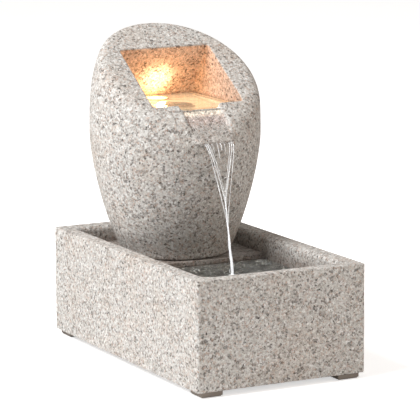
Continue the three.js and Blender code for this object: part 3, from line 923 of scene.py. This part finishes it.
@dataclass(frozen=True)
class VesselForm:
    """Shape of the egg-shaped vessel, its slanted face, recess, chute and lip."""

    equator: float = 202 * MM
    below: float = 158 * MM
    below_power: float = 1.44
    above: float = 125 * MM
    above_power: float = 3.0
    wall: float = 9 * MM
    mouth: float = 34 * MM
    flange: float = 10 * MM
    base_round: float = 5 * MM
    tilt: float = math.radians(33)
    face_y: float = 7.65 * MM
    face_z: float = 233.9 * MM
    recess_half: float = 47 * MM
    recess_front: float = 10.2 * MM
    recess_length: float = 83 * MM
    floor: float = 222 * MM
    slab: float = 9 * MM
    water: float = 230.9 * MM
    chute_half: float = 20.5 * MM
    crest_y: float = 5 * MM
    crest_z: float = 229.2 * MM
    slope: float = math.radians(40)
    lip_front: float = -26 * MM
    lip_back: float = 4 * MM
    lip_bottom: float = 202.6 * MM
    lip_root: float = 21.5 * MM
    lip_nose: float = 18 * MM
    side_softness: float = 6.5 * MM
    front_softness: float = 17 * MM

    @property
    def radius(self) -> float:
        """Radius at the equator."""
        low, high = extent("vessel")
        return (high.x - low.x) / 2

    @property
    def axis_y(self) -> float:
        """Y of the upright axis."""
        return extent("vessel")[1].y - self.radius

    @property
    def base(self) -> float:
        """Height of the underside."""
        return extent("vessel")[0].z

    def radius_at(self, height: float) -> float:
        """Outer radius at a height.

        Args:
            height: Height above the table.

        Returns:
            The radius.
        """
        rise = height - self.equator
        reach, power = (self.below, self.below_power) if rise < 0 else (self.above, self.above_power)
        return self.radius * math.sqrt(max(0.0, 1 - (abs(rise) / reach) ** power))

    def face_at(self, y: float) -> float:
        """Height of the slanted face at a Y."""
        return self.face_z + (y - self.face_y) * math.tan(self.tilt)

    def recess_corner(self) -> Place:
        """Middle of the recess's front edge, on the face."""
        return (0.0, self.recess_front, self.face_at(self.recess_front))

    def painted_hot_spot(self) -> Place:
        """Middle of the painted hot spot: where the lamp lights the recess's back wall most."""
        return (2 * MM, 101 * MM, 248 * MM)

    def chute_floor(self, y: float) -> float:
        """Height of the chute's floor at a Y."""
        return self.crest_z - max(0.0, self.crest_y - y) * math.tan(self.slope)

    def face_normal(self) -> Vector:
        """Normal of the slanted face, pointing out."""
        return Vector((0, -math.sin(self.tilt), math.cos(self.tilt)))


@dataclass
class Vessel:
    """The egg-shaped vessel: one cast piece."""

    form: VesselForm = field(default_factory=VesselForm)
    segments: int = 144
    rings: int = 112
    voxel: float = 1.35 * MM

    def build(self) -> Solid:
        """Cast the vessel, and return it.

        Returns:
            The finished vessel.
        """
        form = self.form
        body = self._outside()
        body.combine(self._recess(), Cut.TAKE_AWAY)
        for cutter in self._chute(form.chute_half):
            body.combine(cutter, Cut.TAKE_AWAY)
        body.combine(self._lip(), Cut.JOIN)
        body.combine(self._hollow(), Cut.TAKE_AWAY)
        for node, clearance in (("recess_fitting", 5), ("lamp_housing", 3)):
            body.combine(self._hole(node, clearance * MM), Cut.TAKE_AWAY)
        body.modify("REMESH", mode="VOXEL", voxel_size=self.voxel, adaptivity=0.0)
        body.modify("SMOOTH", factor=0.5, iterations=3)
        body.modify("DECIMATE", ratio=0.55)
        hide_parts("vessel")
        return body.finish("vessel", "cast_stone", CastStone("vessel_stone", Dampness.VESSEL).material(), 180)

    def _outside(self) -> Solid:
        """The egg, closed by its slanted face with a soft rim.

        Returns:
            The closed egg.
        """
        form = self.form
        egg = Solid.ball("vessel_shell", 1.0, (0, 0, 0), self.segments, self.rings)
        rims: dict[int, float] = {}

        def rim_height(angle: float) -> float:
            """Height where the wall would meet the face, at an angle round the axis.

            Args:
                angle: Angle round the axis.

            Returns:
                The height.
            """
            key = round(angle * 1000)
            if key not in rims:
                low, high = form.base, form.equator + form.above
                for _ in range(40):
                    middle = (low + high) / 2
                    y = form.axis_y + form.radius_at(middle) * math.sin(angle)
                    low, high = (middle, high) if middle < form.face_at(y) else (low, middle)
                rims[key] = low
            return rims[key]

        def place(point: Vector) -> Vector:
            """Send a point of the unit ball to the egg's surface.

            Args:
                point: Point of the unit ball.

            Returns:
                The same point on the egg.
            """
            angle = math.atan2(point.y, point.x)
            share = 1 - math.acos(max(-1.0, min(1.0, point.z))) / math.pi
            radius, height = self._meridian(share, angle, rim_height(angle))
            return Vector((radius * math.cos(angle), form.axis_y + radius * math.sin(angle), height))

        return egg.move_points(place)

    def _meridian(self, share: float, angle: float, rim: float) -> tuple[float, float]:
        """A point on the egg's outline.

        Args:
            share: 0 at the middle of the underside, 1 at the middle of the face.
            angle: Direction from the axis.
            rim: Height where the wall would meet the face.

        Returns:
            The point's radius and height.
        """
        form = self.form
        base_end, round_end, wall_end, rim_end = 0.08, 0.13, 0.66, 0.80
        lean = (1 - math.sin(angle)) / 2
        soft = form.side_softness + (form.front_softness - form.side_softness) * lean ** 3
        foot = form.radius_at(form.base + form.base_round) - form.base_round
        wall_top = rim - soft
        if share < base_end:
            return foot * share / base_end, form.base
        if share < round_end:
            turn = (share - base_end) / (round_end - base_end) * math.pi / 2
            return foot + form.base_round * math.sin(turn), form.base + form.base_round * (1 - math.cos(turn))
        if share < wall_end:
            low = form.base + form.base_round
            height = low + (wall_top - low) * (share - round_end) / (wall_end - round_end)
            return form.radius_at(height), height
        corner = form.radius_at(rim)
        edge = corner - soft
        if share < rim_end:
            t = (share - wall_end) / (rim_end - wall_end)
            points = (
                (form.radius_at(wall_top), wall_top),
                (corner, rim),
                (edge, form.face_at(form.axis_y + edge * math.sin(angle))),
            )
            weights = ((1 - t) ** 2, 2 * t * (1 - t), t * t)
            radius = sum(w * p[0] for w, p in zip(weights, points))
            return radius, sum(w * p[1] for w, p in zip(weights, points))
        radius = edge * (1 - share) / (1 - rim_end)
        return radius, form.face_at(form.axis_y + radius * math.sin(angle))

    def _recess(self) -> Solid:
        """What is cut away for the recess: square to the face, with a level floor.

        Returns:
            The cutter.
        """
        form = self.form
        deep, proud = 130 * MM, 40 * MM
        corner = Vector(form.recess_corner())
        along = Vector((0, math.cos(form.tilt), math.sin(form.tilt)))
        middle = corner + along * form.recess_length / 2 + form.face_normal() * (proud - deep) / 2
        size = (2 * form.recess_half, form.recess_length, deep + proud)
        cutter = Solid.tilted_box("recess_cutter", size, middle, form.tilt)
        normal = form.face_normal()
        with cutter.edit():
            cutter.bevel(lambda a, b: (a - b).normalized().cross(normal).length < 0.01, 3 * MM, 4)
        return cutter.slice((0, 0, form.floor), (0, 0, -1))

    def _chute(self, half: float) -> list[Solid]:
        """What is cut away for the chute: a level crest, then a slope down to the nose.

        Args:
            half: Half of its width.

        Returns:
            The two cutters.
        """
        form = self.form
        high, run = 60 * MM, 70 * MM
        crest = Solid.box("crest_cutter", (-half, form.crest_y - 0.5 * MM, form.crest_z),
                          (half, form.recess_front + 12 * MM, form.crest_z + high))
        down = Vector((0, -math.cos(form.slope), -math.sin(form.slope)))
        up = Vector((0, -math.sin(form.slope), math.cos(form.slope)))
        middle = Vector((0, form.crest_y, form.crest_z)) + down * run / 2 + up * high / 2
        slope = Solid.tilted_box("slope_cutter", (2 * half, run, high), middle, form.slope)
        return [crest, slope]

    def _lip(self) -> Solid:
        """The spout lip: a tongue that narrows to a rounded nose.

        Returns:
            The lip.
        """
        form = self.form
        lip = Solid.box("lip", (-form.lip_root, form.lip_front, form.lip_bottom),
                        (form.lip_root, form.lip_back, form.crest_z))
        narrow = 0.5 + form.lip_nose / form.lip_root / 2
        with lip.edit():
            lip.pick_faces(lambda middle, normal: normal.y < -0.9)
            front = (0, form.lip_front, (form.lip_bottom + form.crest_z) / 2)
            bpy.ops.transform.resize(value=(narrow, 1, 1), center_override=front)
            lip.bevel(lambda a, b: upright(a, b) and a.y < form.lip_front + MM, 5 * MM, 6)
        for cutter in self._chute(3 * form.lip_root):
            lip.combine(cutter, Cut.TAKE_AWAY)
        with lip.edit():
            lip.bevel(lambda a, b: level_at(form.lip_bottom, a, b) and max(a.y, b.y) < 0, 0.9 * MM, 3)
        return lip

    def _hollow(self) -> Solid:
        """What is left open inside: the egg inset by its wall, and the mouth in its base.

        Returns:
            The cutter.
        """
        form = self.form
        ceiling = form.floor - form.slab
        low = form.base + form.flange
        hollow = Solid.ball("hollow", 1.0, (0, 0, 0), 72, 40)

        def place(point: Vector) -> Vector:
            """Send a point of the unit ball to the inner wall.

            Args:
                point: Point of the unit ball.

            Returns:
                The same point on the inner wall.
            """
            angle = math.atan2(point.y, point.x)
            share = 1 - math.acos(max(-1.0, min(1.0, point.z))) / math.pi
            up = min(1.0, max(0.0, (share - 0.15) / 0.7))
            height = low + (ceiling - low) * up
            inward = min(1.0, share / 0.15, (1 - share) / 0.15)
            radius = (form.radius_at(height) - form.wall) * inward
            return Vector((radius * math.cos(angle), form.axis_y + radius * math.sin(angle), height))

        hollow.move_points(place)
        under_face = (0, form.face_y, form.face_z - 20 * MM)
        hollow.slice(under_face, form.face_normal())
        mouth = Solid.bar("mouth", form.mouth, (0, form.axis_y, form.base - MM),
                          (0, form.axis_y, low + MM), 72)
        return hollow.combine(mouth, Cut.JOIN)

    def _hole(self, node: str, inset: float) -> Solid:
        """A hole through the recess's floor for a fitting.

        Args:
            node: The CAD node that passes through it.
            inset: How much narrower than that node's flange the hole is.

        Returns:
            The cutter.
        """
        low, high = extent(node)
        x, y = (low.x + high.x) / 2, (low.y + high.y) / 2
        radius = (high.x - low.x) / 2 - inset + 0.3 * MM
        form = self.form
        return Solid.bar("hole", radius, (x, y, form.floor - form.slab - MM), (x, y, form.floor + MM))


# ------------------------------------------------------------------ the trough and deck

@dataclass
class Trough:
    """The cast trough, with ledges for the deck and a pocket for the power inlet."""

    wall: float = 16.5 * MM
    floor: float = 12 * MM
    corner: float = 2.5 * MM
    cavity_corner: float = 9 * MM
    bed_round: float = 4 * MM
    inner_rim: float = 5 * MM
    outer_edge: float = 1.3 * MM
    ledge: float = 6 * MM
    ledge_front: float = 12 * MM
    pocket: tuple[float, float, float] = (13 * MM, 12 * MM, 12 * MM)
    foot_height: float = 5 * MM
    deck_plate: float = 5 * MM
    ledge_bite: float = 4 * MM
    pocket_corner: float = 2 * MM
    inlet_radius: float = 6.3 * MM
    peg_radius: float = 3.3 * MM

    def __post_init__(self) -> None:
        """Read the outer size from the frame."""
        self.low, self.high = extent("basin")
        self.inner = (self.high.x - self.wall, self.high.y - self.wall)
        self.bed = extent("foot_front_left")[0].z + self.foot_height + self.floor

    def build(self) -> Solid:
        """Cast the trough, and return it.

        Returns:
            The finished trough.
        """
        shell = self._shell()
        for ledge in self._ledges():
            shell.combine(ledge, Cut.JOIN)
        for cutter in (self._inlet_pocket(), self._inlet_hole(), *self._peg_holes()):
            shell.combine(cutter, Cut.TAKE_AWAY)
        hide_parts("basin")
        shell.finish("trough", "cast_stone", CastStone("trough_stone", Dampness.TROUGH).material())
        shell.modify("WEIGHTED_NORMAL", keep_sharp=True)
        return shell

    def _shell(self) -> Solid:
        """The open box, with its corners, edges and rims rounded.

        Returns:
            The box.
        """
        low, high = self.low, self.high
        inner_x, inner_y = self.inner
        near = 0.6 * MM

        def outer_edge(a: Vector, b: Vector) -> bool:
            """Whether an edge runs along the top or the underside."""
            return level_at(high.z, a, b) or level_at(low.z, a, b)

        def inner_rim(a: Vector, b: Vector) -> bool:
            """Whether an edge runs along the cavity's mouth."""
            inside = all(abs(p.x) < inner_x + near and abs(p.y) < inner_y + near for p in (a, b))
            return inside and level_at(high.z, a, b)

        shell = Solid.box("trough_shell", low, high)
        with shell.edit():
            shell.bevel(upright, self.corner, 4)
            shell.bevel(outer_edge, self.outer_edge, 3)
        shell.combine(self._cavity(), Cut.TAKE_AWAY)
        with shell.edit():
            shell.bevel(inner_rim, self.inner_rim, 6)
        return shell

    def _cavity(self) -> Solid:
        """What is cut away for the pool and the pump bay.

        Returns:
            The cutter.
        """
        inner_x, inner_y = self.inner
        cavity = Solid.box("cavity", (-inner_x, -inner_y, self.bed),
                           (inner_x, inner_y, self.high.z + 20 * MM))
        with cavity.edit():
            cavity.bevel(upright, self.cavity_corner, 10)
            cavity.bevel(lambda a, b: level_at(self.bed, a, b), self.bed_round, 4)
        return cavity

    def _ledges(self) -> list[Solid]:
        """The three ledges that the deck rests on.

        Returns:
            The ledges: left, right and rear.
        """
        inner_x, inner_y = self.inner
        top = extent("pump_deck")[1].z - self.deck_plate
        bite = self.ledge_bite
        low_z = self.bed - bite
        front = self.ledge_front
        return [
            Solid.box("ledge_left", (-inner_x - bite, front, low_z),
                      (-inner_x + self.ledge, inner_y + bite, top)),
            Solid.box("ledge_right", (inner_x - self.ledge, front, low_z),
                      (inner_x + bite, inner_y + bite, top)),
            Solid.box("ledge_rear", (-inner_x, inner_y - self.ledge, low_z), (inner_x, inner_y + bite, top)),
        ]

    def _inlet_pocket(self) -> Solid:
        """The pocket in the rear wall round the power inlet.

        Returns:
            The cutter.
        """
        half_width, half_height, depth = self.pocket
        low, high = extent("power_socket")
        middle = (low.z + high.z) / 2
        rear = self.high.y
        pocket = Solid.box("pocket", (-half_width, rear - depth, middle - half_height),
                           (half_width, rear + depth, middle + half_height))
        with pocket.edit():
            pocket.bevel(lambda a, b: abs(a.x - b.x) + abs(a.z - b.z) < 1e-6, self.pocket_corner, 4)
        return pocket

    def _inlet_hole(self) -> Solid:
        """The hole behind the pocket.

        Returns:
            The cutter.
        """
        low, high = extent("power_socket")
        middle = (low.z + high.z) / 2
        start = (0, self.inner[1] - 10 * MM, middle)
        return Solid.bar("inlet_hole", self.inlet_radius, start, (0, self.high.y, middle), 32)

    def _peg_holes(self) -> list[Solid]:
        """The blind holes for the pegs of the feet.

        Returns:
            The cutters, one for each foot.
        """
        holes = []
        for place in ("front_left", "front_right", "rear_left", "rear_right"):
            low, high = extent("foot_" + place)
            x, y = (low.x + high.x) / 2, (low.y + high.y) / 2
            end = (x, y, high.z + 0.3 * MM)
            holes.append(Solid.bar("peg_hole", self.peg_radius, (x, y, 0), end, 24))
        return holes


@dataclass
class PumpDeck:
    """The panel over the pump, and the slotted screen under its front edge."""

    corner: float = 8.2 * MM
    hole: tuple[float, float, float, float] = (-22 * MM, 12 * MM, 42 * MM, 84 * MM)
    hole_corner: float = 6 * MM
    slots: int = 15
    slot_pitch: float = 7 * MM
    slot_half: float = 1.75 * MM
    slot_low: float = 23 * MM
    slot_high: float = 57 * MM

    def build(self) -> list[Solid]:
        """Cast the panel and the screen, and return them.

        Returns:
            The panel and the screen.
        """
        stone = CastStone("deck_stone", Dampness.DECK).material()
        pieces = [self._plate(), self._screen()]
        for piece, node in zip(pieces, ("pump_deck", "deck_screen")):
            sharp = math.radians(40)
            piece.modify("BEVEL", width=0.6 * MM, segments=3, limit_method="ANGLE", angle_limit=sharp)
            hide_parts(node)
            piece.finish("deck", "cast_stone", stone)
            piece.modify("WEIGHTED_NORMAL", keep_sharp=True)
        return pieces

    def _plate(self) -> Solid:
        """The panel, with the hole that the tube and the lamp's plug pass through.

        Returns:
            The panel.
        """
        low, high = extent("pump_deck")
        plate = Solid.box("deck_panel", low, high)
        x0, x1, y0, y1 = self.hole
        hole = Solid.box("deck_hole", (x0, y0, low.z - MM), (x1, y1, high.z + MM))
        with hole.edit():
            hole.bevel(upright, self.hole_corner, 6)
        with plate.edit():
            plate.bevel(lambda a, b: upright(a, b) and a.y > high.y - MM, self.corner, 8)
        return plate.combine(hole, Cut.TAKE_AWAY)

    def _screen(self) -> Solid:
        """The screen, with a row of upright slots.

        Returns:
            The screen.
        """
        low, high = extent("deck_screen")
        screen = Solid.box("slotted_screen", low, high)
        for index in range(self.slots):
            middle = (index - (self.slots - 1) / 2) * self.slot_pitch
            slot = Solid.box("slot", (middle - self.slot_half, low.y - MM, self.slot_low),
                             (middle + self.slot_half, high.y + MM, self.slot_high))
            screen.combine(slot, Cut.TAKE_AWAY)
        return screen


# ------------------------------------------------------------------ the water

@dataclass
class Pools:
    """Still water: the pool in the trough and the one in the recess."""

    pool_level: float = 83.7 * MM
    inset: float = 0.25 * MM
    step: float = 2.2 * MM
    impact: tuple[float, float] = (4.6 * MM, -46.9 * MM)

    def build(self) -> list[Solid]:
        """Fill both, and return the two bodies of water."""
        return [self._pool(), self._upper_pool()]

    def _pool(self) -> Solid:
        """The trough's water in front of the deck, rippled round the stream.

        Returns:
            The water.
        """
        trough = Trough()
        inner_x, inner_y = trough.inner
        back = extent("pump_deck")[0].y - self.inset
        surface = Solid.grid("pool_water", (-inner_x - MM, -inner_y - MM), (inner_x + MM, back),
                             self.pool_level, self.step)
        centre = Vector((*self.impact, 0))

        def ripple(point: Vector) -> Vector:
            """Lift a point by the rings that spread from the stream.

            Args:
                point: Point of the still surface.

            Returns:
                The lifted point.
            """
            away = (Vector((point.x, point.y, 0)) - centre).length
            ring = math.sin(away / (2.3 * MM)) * math.exp(-away / (26 * MM))
            slow = math.sin(point.x / (9 * MM) + 1.3) * math.sin(point.y / (6 * MM)) * 0.18
            calm = min(1.0, max(0.0, (back - point.y) / (12 * MM)))
            return Vector((point.x, point.y, point.z + (1.2 * ring + slow) * MM * calm))

        surface.move_points(ripple).thicken_down(self.pool_level - trough.bed)
        room = Solid.box("pool_room", (-inner_x + self.inset, -inner_y + self.inset, trough.bed + self.inset),
                         (inner_x - self.inset, back + MM, self.pool_level + 10 * MM))
        with room.edit():
            room.bevel(lambda a, b: upright(a, b) and a.y < 0, trough.cavity_corner, 10)
            room.bevel(lambda a, b: level_at(trough.bed + self.inset, a, b) and min(a.y, b.y) < back,
                       4 * MM, 4)
        surface.combine(room, Cut.KEEP_SHARED)
        # The pool gives off a faint painted glow that brightens it.
        look = Water("pool_water", (0.78, 0.80, 0.77), ripple=70.0, relief=0.004, painted_glow=0.02)
        return surface.finish("trough", "water", look.material(), 60)

    def _upper_pool(self) -> Solid:
        """The recess's water, up to the chute's crest.

        Returns:
            The water.
        """
        form = VesselForm()
        front, back = form.recess_front, form.recess_front + 110 * MM
        surface = Solid.grid("recess_water", (-form.recess_half - MM, front), (form.recess_half + MM, back),
                             form.water, self.step)

        def swell(point: Vector) -> Vector:
            """Lift a point by the water that wells up from the fitting.

            Args:
                point: Point of the still surface.

            Returns:
                The lifted point.
            """
            away = math.hypot(point.x, point.y - 50.5 * MM)
            ring = math.sin(away / (2.6 * MM)) * math.exp(-away / (22 * MM)) * 0.35
            return Vector((point.x, point.y, point.z + ring * MM))

        surface.move_points(swell).thicken_down(form.water - form.floor)
        room = Vessel()._recess()
        room.thing.scale = (1 - self.inset / form.recess_half,) * 3
        middle = Vector((0, form.recess_front + 40 * MM, form.floor + 20 * MM))
        room.thing.location = middle * (self.inset / form.recess_half)
        room.settle()
        surface.combine(room, Cut.KEEP_SHARED)
        # Painted lamp light: the recess water is tinted orange and gives off a warm painted glow.
        look = Water("recess_water", (1.0, 0.78, 0.52), painted_glow=0.22)
        return surface.finish("vessel", "water", look.material(), 60)


@dataclass
class Fall:
    """Moving water: the sheet over the chute and the strands that fall from the lip."""

    form: VesselForm = field(default_factory=VesselForm)
    film: float = 0.7 * MM
    landing: Place = (4.6 * MM, -46.9 * MM, 83 * MM)
    steps: int = 36

    def build(self) -> list[Solid]:
        """Pour the water, and return its pieces.

        Returns:
            The sheets and the streams.
        """
        clear = Water("sheet_water", (0.98, 0.99, 1.0), ripple=300.0, relief=0.0002, roughness=0.02,
                      cover=0.2).material()
        # The falling water gives off a painted glow that keeps the strands bright.
        bright = Water("falling_water", (0.96, 0.97, 0.98), ripple=500.0, relief=0.0004, roughness=0.06,
                       clearness=0.7, painted_glow=0.16, cover=0.9).material()
        sheets = [self._chute_sheet(), self._veil()]
        streams = [*self._strands(), *self._splash()]
        for piece in sheets:
            piece.finish("vessel", "water", clear, 60)
        for piece in streams:
            piece.finish("vessel", "water", bright, 60)
        return sheets + streams

    def _chute_sheet(self) -> Solid:
        """The sheet from the recess over the crest and down to the nose.

        Returns:
            The sheet.
        """
        form = self.form
        half = form.chute_half - 0.4 * MM
        front, back = form.lip_front + 0.6 * MM, form.recess_front + 3 * MM
        sheet = Solid.grid("chute_sheet", (-half, front), (half, back), 0.0, 1.2 * MM)

        def flow(point: Vector) -> Vector:
            """Lay a point on the chute's floor, with long ridges.

            Args:
                point: Point of the flat sheet.

            Returns:
                The point on the chute.
            """
            fine = math.sin(point.x / (0.9 * MM) + point.y / (5 * MM))
            ridge = 0.18 * math.sin(point.x / (1.9 * MM)) + 0.12 * fine
            narrow = 1.0
            if point.y < form.crest_y:
                narrow = 1 - 0.14 * (form.crest_y - point.y) / (form.crest_y - form.lip_front)
            level = form.chute_floor(point.y) + self.film + ridge * MM
            return Vector((point.x * narrow, point.y, level))

        sheet.move_points(flow)
        drop = (0, 0, 0.15 * MM - self.film)
        with sheet.edit():
            bpy.ops.mesh.select_all(action="SELECT")
            bpy.ops.mesh.extrude_region_move(TRANSFORM_OT_translate={"value": drop})
        return sheet.face_out()

    def _path(self, x: float, gather: float, share: float) -> Vector:
        """Where a strand is.

        Args:
            x: Where it leaves the nose.
            gather: Height at which it meets the others.
            share: 0 at the nose and 1 at the pool.

        Returns:
            The point.
        """
        top = self.form.chute_floor(self.form.lip_front) + 0.3 * MM
        start_y = self.form.lip_front - 0.4 * MM
        height = top + (self.landing[2] - top) * share
        forward = start_y + (self.landing[1] - start_y) * math.sqrt(max(share, 0.0))
        centre = self.landing[0] * share ** 2
        closing = min(1.0, max(0.0, (top - height) / (top - gather)))
        apart = (1 - closing) ** 1.15
        return Vector((centre + x * apart, forward, height))

    def _strands(self) -> list[Solid]:
        """The strands, thick and thin, which meet and twist into one stream.

        Returns:
            The strands.
        """
        tune = random.Random(7)
        recipe = (
            # where it leaves the nose, height where it joins, radius (all in mm), and how far it falls
            (-11.5, 150, 0.50, 1.0), (13.8, 150, 0.55, 1.0), (-13.2, 128, 0.36, 1.0), (15.6, 128, 0.30, 1.0),
            (-9.8, 160, 0.24, 0.5), (11.6, 156, 0.24, 0.5),
            (-1.5, 120, 0.34, 0.11), (2.2, 120, 0.30, 0.05), (6.0, 120, 0.28, 0.08), (-6.5, 120, 0.26, 0.07),
        )
        return [self._strand(f"strand_{i + 1}", *(value * MM for value in item[:3]), item[3], tune)
                for i, item in enumerate(recipe)]

    def _strand(self, name: str, x: float, gather: float, radius: float, reach: float,
                tune: random.Random) -> Solid:
        """One strand of water, as a tube that swells and thins.

        Args:
            name: Name of the piece.
            x: Where it leaves the nose.
            gather: Height at which it meets the others.
            radius: Its mean radius.
            reach: Share of the fall at which it ends; 1 is the pool.
            tune: Source of its small differences.

        Returns:
            The strand.
        """
        deselect()
        curve = bpy.data.curves.new(name, "CURVE")
        curve.dimensions = "3D"
        curve.bevel_depth = 1.0
        curve.bevel_resolution = 2
        curve.use_fill_caps = True
        line = curve.splines.new("POLY")
        line.points.add(self.steps)
        phase = tune.uniform(0, 2 * math.pi)
        twist = tune.uniform(0.5, 1.2) * MM
        for index, point in enumerate(line.points):
            share = reach * index / self.steps
            place = self._path(x, gather, share)
            joined = max(0.0, (gather - place.z) / gather)
            turn = phase + 34 * share
            place.x += twist * joined * 2.2 * math.sin(turn)
            place.y += twist * joined * 1.6 * math.cos(turn)
            point.co = (*place, 1.0)
            swell = 1 + 0.28 * math.sin(13 * share + phase) + 0.15 * math.sin(41 * share + 2 * phase)
            point.radius = radius * swell * (1 + 0.8 * min(1.0, 3 * joined))
        thing = bpy.data.objects.new(name, curve)
        bpy.context.scene.collection.objects.link(thing)
        thing.select_set(True)
        bpy.context.view_layer.objects.active = thing
        bpy.ops.object.convert(target="MESH")
        return Solid(bpy.context.object, name).face_out()

    def _veil(self) -> Solid:
        """The thin sheet that hangs between the outer strands before they meet.

        Returns:
            The sheet.
        """
        reach = 0.36
        veil = Solid.grid("water_veil", (-1, 0), (1, 1), 0.0, 0.04)

        def hang(point: Vector) -> Vector:
            """Hang a point of the flat sheet between the strands.

            Args:
                point: Point of the flat sheet.

            Returns:
                The hung point.
            """
            share = point.y * reach
            left, right = self._path(-14.0 * MM, 150 * MM, share), self._path(13.5 * MM, 150 * MM, share)
            place = left.lerp(right, (point.x + 1) / 2)
            place.y += 0.35 * MM * math.sin(point.x * 9 + point.y * 5)
            return place

        veil.move_points(hang)
        veil.modify("SOLIDIFY", thickness=0.3 * MM, offset=0.0)
        return veil.face_out()

    def _splash(self) -> list[Solid]:
        """The collar and drops where the stream meets the pool.

        Returns:
            The collar, then the drops.
        """
        tune = random.Random(3)
        x, y, z = self.landing
        collar = Solid.ball("splash_collar", 4.2 * MM, (x, y, z + 0.4 * MM), 24, 12)
        with collar.edit():
            bpy.ops.mesh.select_all(action="SELECT")
            bpy.ops.transform.resize(value=(1, 1, 0.32), center_override=(x, y, z + 0.4 * MM))
        drops = [collar]
        for index in range(7):
            angle = tune.uniform(0, 2 * math.pi)
            away = tune.uniform(4, 9) * MM
            place = (x + away * math.cos(angle), y + away * math.sin(angle), z + tune.uniform(1, 5) * MM)
            drops.append(Solid.ball(f"drop_{index + 1}", tune.uniform(0.35, 0.7) * MM, place, 10, 6))
        return drops


# ------------------------------------------------------------------ CAD pieces, studio and camera

def dress_frame() -> None:
    """Give every CAD piece that still shows its material, and the lamp its light."""
    materials = {slot: finish.material() for slot, finish in FINISHES.items()}
    for entry in frame["record"]["subparts"]:
        material = materials.get(entry["material_slot"])
        if material is None:
            continue
        thing = frame["nodes"][entry["node"]]
        thing.data.materials.clear()
        thing.data.materials.append(material)
        log.info("%s: %s", entry["node"], material.name)


@dataclass
class LampLight:
    """The warm light that the lamp throws on the recess."""

    colour: Colour = (1.0, 0.5, 0.2)
    power: float = 0.05
    size: float = 5 * MM

    def build(self) -> None:
        """Hang the light over the lamp, on the vessel."""
        light = bpy.data.lights.new("lamp_glow", "POINT")
        light.color, light.energy, light.shadow_soft_size = self.colour, self.power, self.size
        thing = bpy.data.objects.new("lamp_glow", light)
        thing.location = (2 * MM, 90 * MM, 240 * MM)
        thing.visible_camera = False
        bpy.context.scene.collection.objects.link(thing)
        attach(thing, "vessel")


@dataclass
class Studio:
    """A plain pale floor, soft light and a camera."""

    azimuth: float = math.radians(-27.96)
    elevation: float = math.radians(10.31)
    roll: float = math.radians(-0.13)
    distance: float = 2.4893
    target: Place = (0.01557, 0.01812, 0.13314)
    lens: float = 228.25
    daylight: float = 0.34

    def build(self) -> None:
        """Set up the floor, the lights and the camera."""
        self._floor()
        self._world()
        self._area("key_light", (-1.4, 0.05, 1.7), 1.2, 58.0, (1.0, 0.995, 0.99))
        self._area("fill_light", (1.2, -1.6, 0.9), 1.4, 10.0, (1.0, 0.84, 0.70))
        self._camera()

    def _floor(self) -> None:
        """A wide pale floor."""
        deselect()
        bpy.ops.mesh.primitive_plane_add(size=60, location=(0, 0, -0.0005))
        floor = Solid(bpy.context.object, "studio_floor").settle()
        material, wire, shader, here = new_material("studio_floor")
        shade = wire.ramp(wire.noise(here, 3.0), ((0.3, (0.93, 0.93, 0.93)), (0.7, (0.96, 0.96, 0.96))))
        wire.feed(shader.inputs["Base Color"], shade)
        shader.inputs["Roughness"].default_value = 0.9
        shader.inputs["Emission Color"].default_value = (1.0, 1.0, 1.0, 1.0)
        seen = wire.add("LightPath").outputs["Is Camera Ray"]
        wire.feed(shader.inputs["Emission Strength"], wire.sum("MULTIPLY", seen, 0.6))
        floor.thing.data.materials.append(material)

    def _world(self) -> None:
        """An even pale surround."""
        world = bpy.data.worlds.new("studio")
        bpy.context.scene.world = world
        world.use_nodes = True
        surround = world.node_tree.nodes["Background"]
        surround.inputs["Color"].default_value = (1.0, 0.965, 0.93, 1.0)
        surround.inputs["Strength"].default_value = self.daylight
        wire = Wiring(world.node_tree)
        backdrop = wire.add("Background", None, {"Color": (1.0, 1.0, 1.0), "Strength": 1.1})
        seen = wire.add("LightPath").outputs["Is Camera Ray"]
        mixed = wire.add("MixShader", None, {0: seen, 1: surround.outputs[0], 2: backdrop.outputs[0]})
        wire.feed(world.node_tree.nodes["World Output"].inputs[0], mixed.outputs[0])
        bpy.context.scene.view_settings.view_transform = "Standard"

    def _area(self, name: str, place: Place, size: float, power: float, colour: Colour) -> None:
        """Add a soft light that looks at the fountain.

        Args:
            name: Name of the light.
            place: Where it hangs.
            size: Side of its square face.
            power: Its power.
            colour: Its colour.
        """
        light = bpy.data.lights.new(name, "AREA")
        light.energy, light.size, light.color = power, size, colour
        thing = bpy.data.objects.new(name, light)
        thing.location = place
        thing.rotation_euler = (Vector(self.target) - Vector(place)).to_track_quat("-Z", "Y").to_euler()
        bpy.context.scene.collection.objects.link(thing)

    def _camera(self) -> None:
        """Look at the fountain from the front left, from a little above."""
        lens = bpy.data.cameras.new("camera")
        lens.lens, lens.sensor_width = self.lens, 36.0
        lens.clip_start, lens.clip_end = 0.05, 100.0
        camera = bpy.data.objects.new("camera", lens)
        a, e = self.azimuth, self.elevation
        back = Vector((math.sin(a) * math.cos(e), -math.cos(a) * math.cos(e), math.sin(e)))
        right = Vector((math.cos(a), math.sin(a), 0))
        up = back.cross(right)
        axes = Matrix((right, up, back)).transposed()
        turned = axes @ Matrix.Rotation(self.roll, 3, "Z")
        camera.matrix_world = Matrix.Translation(Vector(self.target) + back * self.distance) @ turned.to_4x4()
        bpy.context.scene.collection.objects.link(camera)
        bpy.context.scene.camera = camera


def main() -> None:
    """Build every sub-assembly in order."""
    logging.basicConfig(level=logging.INFO, format="%(name)s: %(message)s")
    Studio().build()
    dress_frame()
    Trough().build()
    PumpDeck().build()
    Vessel().build()
    LampLight().build()
    Pools().build()
    Fall().build()


if __name__ == "__main__":
    main()
